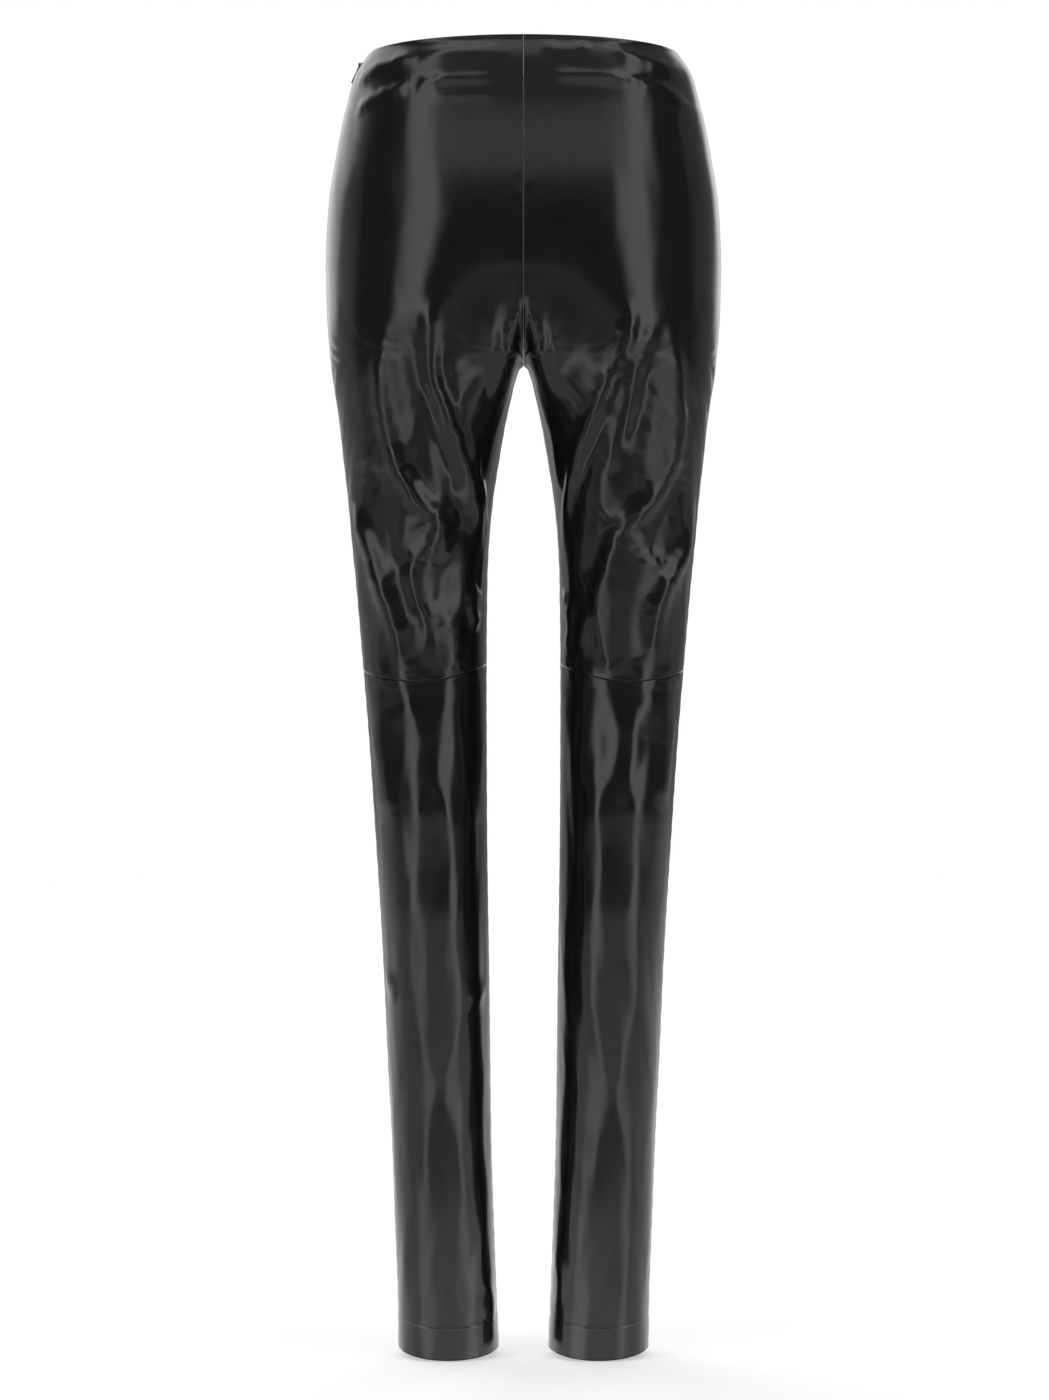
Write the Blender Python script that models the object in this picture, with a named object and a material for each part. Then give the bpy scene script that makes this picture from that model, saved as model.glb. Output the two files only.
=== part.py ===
"""High-waisted leather-look leggings in their worn shape, with nobody in them.

+Z is up, the back faces -Y and +X is the wearer's right, so the back is seen along +Y with +X to the right.
The origin is the centre of the waist opening, level with its top edge. Sizes below are in millimetres.

Each half of the garment is one surface with two coordinates:
    across  0 at the centre-back seam and then the inseam, 0.5 at the side seam, 1 at the centre front
    down    distance below the waist edge, measured along the side seam
Panels are rectangles of that surface, given a thickness towards the inside.
"""

import math
from collections import namedtuple

import bmesh
import bpy
import numpy as np
from mathutils import Matrix, Vector

MM = 0.001

# Driving sizes
OUTSEAM = 1045.0
RISE = 250.0  # waist edge to the crotch point
SEAT_START = 175.0  # below this the centre seams curve under towards the crotch
SEAT_EASE_START = 140.0  # away from those seams the torso turns into the legs from here to the crotch
HEM_DIP = 6.0  # the hem is this much longer at the centre of the back leg
HEM_TURN = 27.0
WAIST_TURN_TOP, WAIST_TURN_END = 4.0, 8.0  # the turned waist edge thins out between these depths
CLOTH = 1.4
TURNED_EDGE = 2.2  # two layers of cloth at the hem and the waist edge
SEAM_GAP = 0.3
KNEE_INSEAM, KNEE_BACK, KNEE_SIDE = 492.0, 507.0, 497.0  # the seam behind the knee

# Zip in the wearer's left side seam
TAPE_THICK = 1.0
TAPE_GAP = 0.6  # between the tape and the cloth it is sewn to
SLIDER_DOWN = 8.0  # centre of the slider below the waist edge
SLIDER_LENGTH, SLIDER_WIDTH, SLIDER_THICK = 8.6, 6.4, 2.2
SLIDER_INSIDE = 3.0  # top of the slider's body, below the outer face of the cloth
NECK_LENGTH, NECK_WIDTH = 4.8, 1.3
NECK_OUTSIDE = 0.6  # the neck stands out of the seam by this much
BAIL_OUTER, BAIL_INNER = 1.6, 0.8  # radii of the arch that holds the pull
SEAM_EYE = 1.6  # the seam edges part by this much each side, round the slider's neck
SEAM_EYE_LENGTH = 4.5
PULL_LENGTH, PULL_THICK = 16.5, 0.9
PULL_EYE_WIDTH, PULL_EYE_LENGTH = 1.9, 1.55
PULL_SHOULDER = 2.6  # the eye's sides run straight to this far from the hinge axis
PULL_NECK, PULL_NECK_AT = 1.1, 5.0  # half width and place of the narrowest part
PULL_WAIST, PULL_WAIST_AT = 1.5, 9.0
PULL_TIP = 2.0  # radius of the round end

# Cross-sections of the torso half: half width, depth behind and in front of the side seam
Torso = namedtuple("Torso", "down half_width back front")
TORSO = (
    Torso(0, 126.8, 86, 96),
    Torso(10, 132.3, 91, 98),
    Torso(20, 137.3, 96, 100),
    Torso(37, 141.8, 103, 103),
    Torso(53, 145.8, 109, 105),
    Torso(85, 151.9, 117, 107),
    Torso(117, 157.1, 122, 107),
    Torso(150, 159.3, 125, 106),
    Torso(175, 160.0, 126, 104),
    Torso(198, 159.6, 125, 102),
    Torso(215, 158.8, 122, 100),
    Torso(250, 155.6, 114, 96),
)

# Cross-sections of one leg: outer edge from the centre line, depths, squareness (2 is an ellipse), and how
# much of the depth is taken from the outer side, where the thigh is still part of the hip
Leg = namedtuple("Leg", "down outer back front squareness hip")
LEG = (
    Leg(140, 159.0, 123, 103, 2.7, 0.30),
    Leg(200, 159.0, 119, 100, 2.7, 0.29),
    Leg(250, 155.6, 110, 94, 2.65, 0.27),
    Leg(296, 149.0, 98, 88, 2.45, 0.19),
    Leg(328, 145.4, 88, 84, 2.35, 0.12),
    Leg(360, 141.8, 80, 79, 2.25, 0.06),
    Leg(393, 138.9, 73, 75, 2.2, 0.02),
    Leg(425, 135.7, 68, 71, 2.15, 0),
    Leg(500, 129.2, 59, 63, 2.1, 0),
    Leg(555, 124.7, 57, 56, 2.1, 0),
    Leg(620, 120.3, 61, 49, 2.1, 0),
    Leg(684, 116.2, 61, 45, 2.1, 0),
    Leg(749, 112.6, 56, 42, 2.1, 0),
    Leg(814, 109.8, 50, 41, 2.1, 0),
    Leg(879, 106.5, 45, 40, 2.1, 0),
    Leg(944, 104.1, 41, 40, 2.1, 0),
    Leg(1008, 101.7, 39, 40, 2.1, 0),
    Leg(1060, 101.1, 38, 40, 2.1, 0),
)

# Half the gap between the legs, at the inseams
Gap = namedtuple("Gap", "down inner")
GAP = (
    Gap(RISE, 0.0),
    Gap(253, 3.2),
    Gap(257, 4.7),
    Gap(263, 6.6),
    Gap(280, 10.6),
    Gap(296, 14.2),
    Gap(328, 19.8),
    Gap(360, 24.7),
    Gap(393, 27.9),
    Gap(425, 29.3),
    Gap(500, 30.0),
    Gap(620, 29.6),
    Gap(749, 27.7),
    Gap(879, 26.0),
    Gap(944, 23.9),
    Gap(1008, 21.5),
    Gap(1060, 19.2),
)
SEAT_CURVE = 2.2  # roundness of the crotch seam seen from the side, 2 is an ellipse
TORSO_SQUARENESS = 2.15
COLUMN_SQUEEZE = 0.7  # columns crowd towards the centre seams by this much at the crotch

# How far the cloth is filled out beside the centre seams, where the torso's section meets the legs'
Seat = namedtuple("Seat", "down fill")
SEAT = (
    Seat(140, 0.0),
    Seat(152, 1.8),
    Seat(165, 6.8),
    Seat(175, 12.3),
    Seat(190, 20.5),
    Seat(203, 24.0),
    Seat(215, 22.5),
    Seat(225, 16.0),
    Seat(235, 8.0),
    Seat(243, 2.5),
    Seat(RISE, 0.0),
)
FILL_RISE = 0.02  # the fill rises over this much of the way across, beside the seam
FILL_FADE = (0.05, 0.19)  # and fades between these

# The largest folds, as seen from behind (or from the front): points are (x, down), and a trough's height is
# negative
Fold = namedtuple("Fold", "face path height width")
FOLDS = (
    # left leg, from the seat to the knee seam
    Fold("back", ((-110, 226), (-111, 290), (-98, 332), (-74, 374)), 7.0, 11),
    Fold("back", ((-92, 276), (-84, 312), (-68, 352)), -4.5, 9),
    Fold("back", ((-88, 258), (-73, 300), (-54, 346)), 5.5, 8),
    Fold("back", ((-80, 232), (-66, 296), (-46, 346)), -4.0, 8),
    Fold("back", ((-69, 214), (-69, 270), (-52, 324), (-31, 408)), 7.0, 9),
    Fold("back", ((-128, 318), (-112, 372), (-100, 420)), -4.5, 12),
    Fold("back", ((-72, 376), (-91, 416), (-80, 458)), 6.0, 10),
    Fold("back", ((-62, 384), (-72, 420), (-62, 462)), -4.5, 11),
    Fold("back", ((-139, 352), (-118, 418), (-99, 478)), 5.5, 9),
    Fold("back", ((-41, 322), (-29, 364), (-27, 400)), 4.0, 7),
    Fold("back", ((-38, 434), (-46, 462), (-60, 482)), 4.0, 9),
    # right leg
    Fold("back", ((78, 212), (69, 268), (48, 322), (28, 402)), 7.0, 9),
    Fold("back", ((94, 238), (74, 294), (52, 346)), -4.5, 9),
    Fold("back", ((110, 218), (90, 268), (64, 320)), 6.0, 9),
    Fold("back", ((108, 262), (98, 312), (76, 362)), -4.5, 11),
    Fold("back", ((118, 284), (122, 322), (104, 362), (75, 404)), 7.0, 10),
    Fold("back", ((126, 352), (104, 396), (88, 438)), -4.0, 11),
    Fold("back", ((84, 372), (66, 420), (60, 452), (68, 480)), 6.0, 9),
    Fold("back", ((138, 370), (117, 424), (105, 484)), 5.5, 9),
    Fold("back", ((28, 440), (52, 456), (46, 480)), 4.0, 9),
    # below the knee seams
    Fold("back", ((-94, 516), (-82, 560), (-88, 626)), 4.0, 10),
    Fold("back", ((-71, 514), (-66, 580), (-53, 640)), 4.0, 9),
    Fold("back", ((66, 514), (77, 544), (58, 612)), 4.0, 9),
    Fold("back", ((96, 512), (77, 572), (90, 634)), 4.0, 10),
    # calves
    Fold("back", ((-50, 740), (-56, 810), (-77, 866), (-78, 910)), 4.0, 10),
    Fold("back", ((-60, 830), (-50, 872), (-47, 920)), 3.5, 8),
    Fold("back", ((56, 756), (69, 834), (56, 900)), 4.0, 9),
    Fold("back", ((91, 748), (80, 832), (82, 904)), 3.5, 9),
    # the front: soft folds from the crotch and at the knees
    Fold("front", ((-16, 236), (-58, 262), (-104, 300)), 3.5, 9),
    Fold("front", ((-30, 276), (-62, 318), (-112, 352)), 3.0, 9),
    Fold("front", ((-50, 468), (-84, 494), (-120, 508)), 3.0, 9),
    Fold("front", ((18, 238), (62, 268), (110, 294)), 3.5, 9),
    Fold("front", ((32, 282), (68, 322), (108, 364)), 3.0, 9),
    Fold("front", ((52, 476), (82, 500), (118, 504)), 3.0, 9),
)
ON_SEAM = 1e-4  # closer across than this is on the seam itself
A_LITTLE_DOWN = 0.02  # step for slopes down the surface
FOLD_SAMPLES = 16
SEAM_CALM = 9.0  # folds die away this close to the centre seams

# Rows of the panels, as (down to, how many). The zip tape shares those down to SEAT_START.
ZIP_ROWS = ((4, 1), (8, 1), (13, 1), (18, 1), (SEAT_START, 9))
BACK_ROWS = ZIP_ROWS + ((250, 8), (263, 3), (328, 5))
BACK_KNEE_ROWS = 13
BACK_LOWER_ROWS = 18
FRONT_ROWS = ZIP_ROWS + ((250, 7), (263, 3), (328, 4), (500, 7), (700, 6))
FRONT_HEM_ROWS = 7
BACK_COLUMNS = 20
LOWER_COLUMNS = 12
FRONT_COLUMNS = 10

BLACK_CLOTH = ("leather_look_cloth", (0.012, 0.013, 0.014), 0.3, 0.0)
BLACK_TAPE = ("zip_tape_cloth", (0.015, 0.015, 0.016), 0.8, 0.0)
DARK_METAL = ("dark_zip_metal", (0.09, 0.09, 0.095), 0.35, 1.0)


# ---- the surface -------------------------------------------------------------------------------------------


def curve_through(rows, column, down):
    """The named column of a table at each depth, on one smooth curve through its rows."""
    at = np.array([row.down for row in rows], float)
    values = np.array([getattr(row, column) for row in rows], float)
    steps = np.diff(values) / np.diff(at)
    slopes = np.concatenate([[steps[0]], np.zeros(len(steps) - 1), [steps[-1]]])
    before, after = steps[:-1], steps[1:]
    same_way = before * after > 0
    slopes[1:-1][same_way] = 2 / (1 / before[same_way] + 1 / after[same_way])
    down = np.clip(down, at[0], at[-1])
    row = np.clip(np.searchsorted(at, down, side="right") - 1, 0, len(steps) - 1)
    span = at[row + 1] - at[row]
    t = (down - at[row]) / span
    return (
        values[row] * (1 + 2 * t) * (1 - t) ** 2
        + slopes[row] * span * t * (1 - t) ** 2
        + values[row + 1] * t**2 * (3 - 2 * t)
        + slopes[row + 1] * span * t**2 * (t - 1)
    )


def reach(angle, squareness):
    """How far a superellipse of unit half-axes reaches at this angle."""
    return (np.abs(np.cos(angle)) ** squareness + np.abs(np.sin(angle)) ** squareness) ** (-1 / squareness)


def smoothly(value, low, high):
    """0 below low, 1 above high, with a soft start and end between."""
    t = np.clip((value - low) / (high - low), 0, 1)
    return t * t * (3 - 2 * t)


def resting_surface(across, down):
    """The right half's outer surface before any fold, as an array of points."""
    across, down = np.broadcast_arrays(np.asarray(across, float), np.asarray(down, float))
    past_seam = np.where((across < 0) & (down < RISE), -1.0, 1.0)
    across = np.where(down < RISE, np.abs(across), across)
    turn = np.clip((down - SEAT_START) / (RISE - SEAT_START), 0, 1) * math.pi / 2
    towards_seam = np.abs(2 * np.clip(across, 0, 1) - 1) ** 4
    at_side = smoothly(down, SEAT_EASE_START, RISE)
    at_seam = 1 - np.cos(turn) ** (2 / SEAT_CURVE)
    closing = at_side + (at_seam - at_side) * towards_seam**2

    squeeze = COLUMN_SQUEEZE * np.clip(down / SEAT_START, 0, 1)
    round_torso = math.pi * (across - squeeze * np.sin(2 * math.pi * across) / (2 * math.pi))
    out = reach(round_torso, TORSO_SQUARENESS)
    torso_x = curve_through(TORSO, "half_width", down) * out * np.sin(round_torso)
    behind_hips, ahead = curve_through(TORSO, "back", down), curve_through(TORSO, "front", down)
    torso_depth = np.where(np.cos(round_torso) > 0, behind_hips, ahead)
    torso_y = -torso_depth * out * np.cos(round_torso)

    round_leg = 2 * math.pi * across
    outer = curve_through(LEG, "outer", down)
    inner = curve_through(GAP, "inner", down)
    out = reach(round_leg, curve_through(LEG, "squareness", down))
    leg_x = (outer + inner) / 2 - (outer - inner) / 2 * out * np.cos(round_leg)
    behind, ahead = curve_through(LEG, "back", down), curve_through(LEG, "front", down)
    leg_depth = np.where(np.sin(round_leg) > 0, behind, ahead)
    on_hip = curve_through(LEG, "hip", down) * np.maximum(-np.cos(round_leg), 0)
    leg_y = -leg_depth * (1 - on_hip) * out * np.sin(round_leg)

    seam_drop = (RISE - SEAT_START) * np.sin(turn) ** (2 / SEAT_CURVE)
    side_drop = (RISE - SEAT_START) * turn / (math.pi / 2)
    torso_drop = np.minimum(down, SEAT_START) + side_drop + (seam_drop - side_drop) * towards_seam
    z = -np.where(down < RISE, torso_drop, down)
    x = (1 - closing) * torso_x + closing * leg_x
    y = (1 - closing) * torso_y + closing * leg_y
    beside_seam = np.abs(np.minimum(across, 1 - across))
    fill = (1 - np.exp(-beside_seam / FILL_RISE)) * (1 - smoothly(beside_seam, *FILL_FADE))
    fill *= curve_through(SEAT, "fill", down) * torso_depth / behind_hips
    y += np.where(across < 0.5, -fill, fill)
    return np.stack([x * past_seam, y, z], axis=-1)


def tangent_across(across, down):
    step = ON_SEAM
    along = resting_surface(across + step, down) - resting_surface(across - step, down)
    return along / np.linalg.norm(along, axis=-1, keepdims=True)


def normal_out(across, down):
    """The outward normal. At a centre seam it never points past the seam's plane."""
    along = tangent_across(across, down)
    higher = np.maximum(down - A_LITTLE_DOWN, 0)
    below = resting_surface(across, down + A_LITTLE_DOWN) - resting_surface(across, higher)
    normal = np.cross(below, along)
    normal /= np.linalg.norm(normal, axis=-1, keepdims=True)
    on_seam = (np.minimum(across, 1 - across) < ON_SEAM) & (down <= RISE)
    normal[..., 0] = np.where(on_seam, np.minimum(normal[..., 0], 0), normal[..., 0])
    return normal


def smooth_path(points, samples):
    """A curve through the points, Catmull-Rom, evenly spread between them."""
    points = np.array(points, float)
    padded = np.vstack([2 * points[0] - points[1], points, 2 * points[-1] - points[-2]])
    at = np.linspace(0, len(points) - 1, samples)
    first = np.minimum(at.astype(int), len(points) - 2)
    t = (at - first)[:, None]
    a, b, c, d = (padded[first + k] for k in range(4))
    bend, twist = 2 * a - 5 * b + 4 * c - d, 3 * b - a - 3 * c + d
    return 0.5 * (2 * b + (c - a) * t + bend * t**2 + twist * t**3)


def fold_heights(side, points):
    """How far the folds of one side (-1 left, 1 right) push each point of the resting surface out."""
    finest = {
        "back": resting_surface(*np.meshgrid(np.linspace(0.005, 0.495, 90), np.linspace(0, OUTSEAM, 350))),
        "front": resting_surface(*np.meshgrid(np.linspace(0.505, 0.995, 90), np.linspace(0, OUTSEAM, 350))),
    }
    heights = np.zeros(points.shape[:-1])
    for fold in FOLDS:
        if np.sign(fold.path[0][0]) != side:
            continue
        surface = finest[fold.face].reshape(-1, 3)
        path = smooth_path([(abs(x), -down) for x, down in fold.path], FOLD_SAMPLES)
        nearest = ((surface[None, :, (0, 2)] - path[:, None]) ** 2).sum(-1).argmin(1)
        line = surface[nearest]
        distance, along = distance_to_line(points, line)
        swell = np.sin(math.pi * along) ** 0.6
        heights += fold.height * swell * np.exp(-((distance / fold.width) ** 2))
    calm = 1 - np.exp(-((points[..., 0] / SEAM_CALM) ** 2))
    return heights * calm


def distance_to_line(points, line):
    """The distance of each point to a bent line, and how far along the line its nearest point is, 0 to 1."""
    best = np.full(points.shape[:-1], np.inf)
    along = np.zeros(points.shape[:-1])
    for k, (start, end) in enumerate(zip(line[:-1], line[1:])):
        run = end - start
        t = np.clip(((points - start) @ run) / max(run @ run, 1e-9), 0, 1)
        distance = np.linalg.norm(points - start - t[..., None] * run, axis=-1)
        nearer = distance < best
        best = np.where(nearer, distance, best)
        along = np.where(nearer, (k + t) / (len(line) - 1), along)
    return best, along


# ---- panels ------------------------------------------------------------------------------------------------


def rows_down(plan):
    """Depths of the rows, from a plan of (down to, how many)."""
    downs = [0.0]
    for down_to, count in plan:
        downs += list(np.linspace(downs[-1], down_to, count + 1)[1:])
    return np.array(downs)


def knee_line(across):
    """Depth of the seam behind the knee."""
    round_leg = 2 * math.pi * across
    straight = KNEE_INSEAM + (KNEE_SIDE - KNEE_INSEAM) * (1 - np.cos(round_leg)) / 2
    return straight + (KNEE_BACK - (KNEE_INSEAM + KNEE_SIDE) / 2) * np.maximum(np.sin(round_leg), 0) ** 1.5


def hem_line(across):
    return OUTSEAM + HEM_DIP * np.maximum(np.sin(2 * math.pi * across), 0) ** 1.5


def between(across, top, bottom, count):
    """Rows from one line to another, without the first."""
    part = np.linspace(0, 1, count + 1)[1:, None]
    return top + (bottom - top) * part


def cloth_thickness(across, down):
    at_waist = np.interp(down, (WAIST_TURN_TOP, WAIST_TURN_END), (TURNED_EDGE, CLOTH))
    return np.where(down > hem_line(across) - HEM_TURN, TURNED_EDGE, at_waist)


def seam_half_gap(side, down):
    """Half the gap at the side seam. On the left it opens round the zip slider's neck."""
    if side > 0:
        return np.full_like(down, SEAM_GAP / 2)
    return SEAM_GAP / 2 + SEAM_EYE * np.exp(-(((down - SLIDER_DOWN) / SEAM_EYE_LENGTH) ** 2))


def panel_points(side, across, down, inwards):
    """Points of a panel's grid, folded, set in from its seams and moved inwards by the given depth."""
    surface = resting_surface(across, down)
    normal = normal_out(across, down)
    points = surface + (fold_heights(side, surface) - inwards)[..., None] * normal
    tangent = tangent_across(across, down)
    for seam, away in ((0.0, 1), (0.5, 1), (0.5, -1), (1.0, -1)):
        columns = across[0] == seam
        if away > 0 and columns[-1] or away < 0 and columns[0]:
            continue
        if seam == 0.5:
            shift = seam_half_gap(side, down)
        else:
            shift = np.where(down >= RISE, SEAM_GAP / 2, 0)
        points[:, columns] += (away * shift[..., None] * tangent)[:, columns]
    points[..., 0] = np.maximum(points[..., 0], SEAM_GAP / 2)
    points[..., 0] *= side
    return points


def walled_object(name, outer, inner, look, left_out=()):
    """A wall between two grids of points, without the cells left out, closed round its edge."""
    rows, columns = outer.shape[:2]
    mesh = bmesh.new()
    skins = [
        [[mesh.verts.new(Vector(point) * MM) for point in row] for row in grid.tolist()]
        for grid in (outer, inner)
    ]
    edges = set()
    for i in range(rows - 1):
        for j in range(columns - 1):
            if (i, j) in left_out:
                continue
            corners = ((i, j), (i, j + 1), (i + 1, j + 1), (i + 1, j))
            for skin in skins:
                mesh.faces.new([skin[row][column] for row, column in corners])
            edges |= set(zip(corners, corners[1:] + corners[:1]))
    for (i, j), (k, m) in edges:
        if ((k, m), (i, j)) not in edges:
            mesh.faces.new((skins[0][i][j], skins[0][k][m], skins[1][k][m], skins[1][i][j]))
    return finished_object(name, mesh, look)


def finished_object(name, mesh, look):
    bmesh.ops.recalc_face_normals(mesh, faces=mesh.faces)
    data = bpy.data.meshes.new(name)
    mesh.to_mesh(data)
    mesh.free()
    data.shade_smooth()
    data.set_sharp_from_angle(angle=math.radians(40))
    data.materials.append(material(*look))
    made = bpy.data.objects.new(name, data)
    bpy.context.scene.collection.objects.link(made)
    return made


def material(name, colour, roughness, metallic):
    found = bpy.data.materials.get(name)
    if found:
        return found
    made = bpy.data.materials.new(name)
    made.use_nodes = True
    shader = made.node_tree.nodes["Principled BSDF"]
    shader.inputs["Base Color"].default_value = (*colour, 1)
    shader.inputs["Roughness"].default_value = roughness
    shader.inputs["Metallic"].default_value = metallic
    return made


def panel(name, side, across, down):
    across, down = np.broadcast_arrays(across, down)
    outer = panel_points(side, across, down, np.zeros_like(down))
    inner = panel_points(side, across, down, cloth_thickness(across, down))
    return walled_object(name, outer, inner, BLACK_CLOTH)


def make_back(side, name):
    across = np.linspace(0, 0.5, BACK_COLUMNS + 1)[None]
    top = rows_down(BACK_ROWS)[:, None] + 0 * across
    knee = knee_line(across)
    rest = between(across, top[-1:], knee - SEAM_GAP / 2, BACK_KNEE_ROWS)
    panel(f"back_{name}_upper", side, across, np.vstack([top, rest]))

    across = np.linspace(0, 0.5, LOWER_COLUMNS + 1)[None]
    first = knee_line(across) + SEAM_GAP / 2
    hem = hem_line(across)
    turn = hem - HEM_TURN
    down = np.vstack([first, between(across, first, turn, BACK_LOWER_ROWS), turn + SEAM_GAP, hem])
    panel(f"back_{name}_lower", side, across, down)


def make_front(side, name):
    across = np.linspace(0.5, 1, FRONT_COLUMNS + 1)[None]
    top = rows_down(FRONT_ROWS)[:, None] + 0 * across
    hem = hem_line(across)
    turn = hem - HEM_TURN
    rest = between(across, top[-1:], turn, FRONT_HEM_ROWS)
    panel(f"front_{name}", side, across, np.vstack([top, rest, turn + SEAM_GAP, hem]))


# ---- zip ---------------------------------------------------------------------------------------------------


def make_zip_tape():
    """The tape lies on the inner faces of the two left panels, so it is made from their points."""
    down = rows_down(ZIP_ROWS)[1:, None]
    back = 0.5 - np.array([[2, 1, 0]]) * 0.5 / BACK_COLUMNS
    front = 0.5 + np.array([[0, 1]]) * 0.5 / FRONT_COLUMNS
    slot = SLIDER_WIDTH / 2 + SEAM_GAP - seam_half_gap(-1, down)
    skins = []
    for depth in (TAPE_GAP, TAPE_GAP + TAPE_THICK):
        behind, ahead = (
            panel_points(-1, *np.broadcast_arrays(across, down), cloth_thickness(across, down) + depth)
            for across in (back, front)
        )
        slot_edges = [
            seam + slot * (beside - seam) / np.linalg.norm(beside - seam, axis=-1, keepdims=True)
            for seam, beside in ((behind[:, 2], behind[:, 1]), (ahead[:, 0], ahead[:, 1]))
        ]
        skins.append(np.stack([behind[:, 0], behind[:, 1], *slot_edges, ahead[:, 1]], axis=1))
    beside_slider = ((0, 2), (1, 2))
    walled_object("zip_tape", *skins, BLACK_TAPE, left_out=beside_slider)


def slider_frame():
    """Axes on the outer face at the slider: out of the cloth, forward, and down along the seam."""
    top, end = (resting_surface(0.5, SLIDER_DOWN + further) * (-1, 1, 1) for further in (0, PULL_LENGTH))
    along = Vector(end - top).normalized()
    forward = Vector((0, 1, 0))
    out = forward.cross(along)
    axes = Matrix((out, forward, along)).transposed().to_4x4()
    axes.translation = Vector(top) * MM
    return axes


def block(lengths, centre=(0, 0, 0)):
    mesh = bmesh.new()
    bmesh.ops.create_cube(mesh, size=1)
    bmesh.ops.scale(mesh, vec=Vector(lengths) * MM, verts=mesh.verts)
    bmesh.ops.translate(mesh, vec=Vector(centre) * MM, verts=mesh.verts)
    return mesh


def extruded(outline, direction, length):
    """A closed outline, pushed both ways along a direction to the given whole length."""
    mesh = bmesh.new()
    half = Vector(direction) * length / 2
    face = mesh.faces.new([mesh.verts.new((Vector(point) - half) * MM) for point in outline])
    pushed = bmesh.ops.extrude_face_region(mesh, geom=[face])["geom"]
    new_points = [item for item in pushed if isinstance(item, bmesh.types.BMVert)]
    bmesh.ops.translate(mesh, vec=2 * half * MM, verts=new_points)
    return mesh


def arc(centre, radius, start, end, steps):
    """Points of an arc as pairs, angles in degrees."""
    turns = [math.radians(start + (end - start) * k / steps) for k in range(steps + 1)]
    return [(centre[0] + radius * math.cos(turn), centre[1] + radius * math.sin(turn)) for turn in turns]


def boolean(target, name, mesh, operation, look):
    helper = finished_object(name, mesh, look)
    helper.matrix_world = target.matrix_world
    helper.hide_render = True
    helper.display_type = "WIRE"
    modifier = target.modifiers.new(name, "BOOLEAN")
    modifier.operation = operation
    modifier.object = helper


def make_slider(frame):
    """Body inside the cloth, a neck through the seam and an arch outside for the pull."""
    middle = -SLIDER_INSIDE - SLIDER_THICK / 2
    body = block((SLIDER_THICK, SLIDER_WIDTH, SLIDER_LENGTH), (middle, 0, 0))
    slider = finished_object("zip_slider", body, DARK_METAL)
    slider.matrix_world = frame
    axis_out = pull_axis_out()
    arch = arc((0, axis_out), BAIL_OUTER, 0, 180, 8)
    shoulders = [(-BAIL_OUTER, NECK_OUTSIDE), (-NECK_LENGTH / 2, NECK_OUTSIDE), (-NECK_LENGTH / 2, middle)]
    outline = arch + shoulders + [(-along, out) for along, out in reversed(shoulders)]
    neck = extruded([(out, 0, along) for along, out in outline], (0, 1, 0), NECK_WIDTH)
    boolean(slider, "slider_neck", neck, "UNION", DARK_METAL)
    inside_arch = [(out, 0, along) for along, out in arc((0, axis_out), BAIL_INNER, 0, 330, 11)]
    window = extruded(inside_arch, (0, 1, 0), 2 * NECK_WIDTH)
    boolean(slider, "slider_window", window, "DIFFERENCE", DARK_METAL)


def pull_axis_out():
    """How far outside the cloth the pull's hinge axis stands, so that its strand just clears the arch."""
    return NECK_OUTSIDE + BAIL_INNER


def make_pull(frame):
    """A slim drop whose eye holds the slider's arch. Its origin is on the hinge axis."""
    half_eye = PULL_EYE_WIDTH / 2 + PULL_THICK
    right = [
        (half_eye, -PULL_THICK / 2),
        (half_eye, PULL_SHOULDER),
        (PULL_NECK, PULL_NECK_AT),
        (PULL_WAIST, PULL_WAIST_AT),
    ]
    tip = arc((0, PULL_LENGTH - PULL_TIP), PULL_TIP, 0, 180, 8)
    outline = right + tip + [(-y, along) for y, along in reversed(right)]
    plate = extruded([(0, y, along) for y, along in outline], (1, 0, 0), PULL_THICK)
    pull = finished_object("zip_pull", plate, DARK_METAL)
    pull.matrix_world = frame @ Matrix.Translation((pull_axis_out() * MM, 0, 0))
    eye = block(
        (2 * PULL_THICK, PULL_EYE_WIDTH, PULL_EYE_LENGTH), (0, 0, PULL_THICK / 2 + PULL_EYE_LENGTH / 2)
    )
    boolean(pull, "pull_eye", eye, "DIFFERENCE", DARK_METAL)


def clear_scene():
    for found in list(bpy.data.objects):
        bpy.data.objects.remove(found)


def main():
    clear_scene()
    for side, name in ((-1, "left"), (1, "right")):
        make_back(side, name)
        make_front(side, name)
    make_zip_tape()
    frame = slider_frame()
    make_slider(frame)
    make_pull(frame)


main()
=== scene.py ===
"""Looks for a pair of glossy black leather-look leggings in their worn shape, seen from behind.

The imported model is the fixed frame. Every cloth panel here is a thin shell on the surface that the solids
follow, with finer folds, rolled seams and turned edges. Sizes in the tables are in millimetres, and the scene
is in metres. +Z is up, the back faces -Y and +X is the wearer's right.

Each half of the garment is one surface with two coordinates:
    across  0 at the centre-back seam and then the inseam, 0.5 at the side seam, 1 at the centre front
    down    distance below the waist edge, measured along the side seam
"""

import math
from collections import namedtuple

import bmesh
import bpy
import numpy as np
from bpy.props import FloatProperty, FloatVectorProperty, PointerProperty
from bpy.types import NodeSocket, Operator, Panel, PropertyGroup
from mathutils import Matrix, Vector


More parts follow.
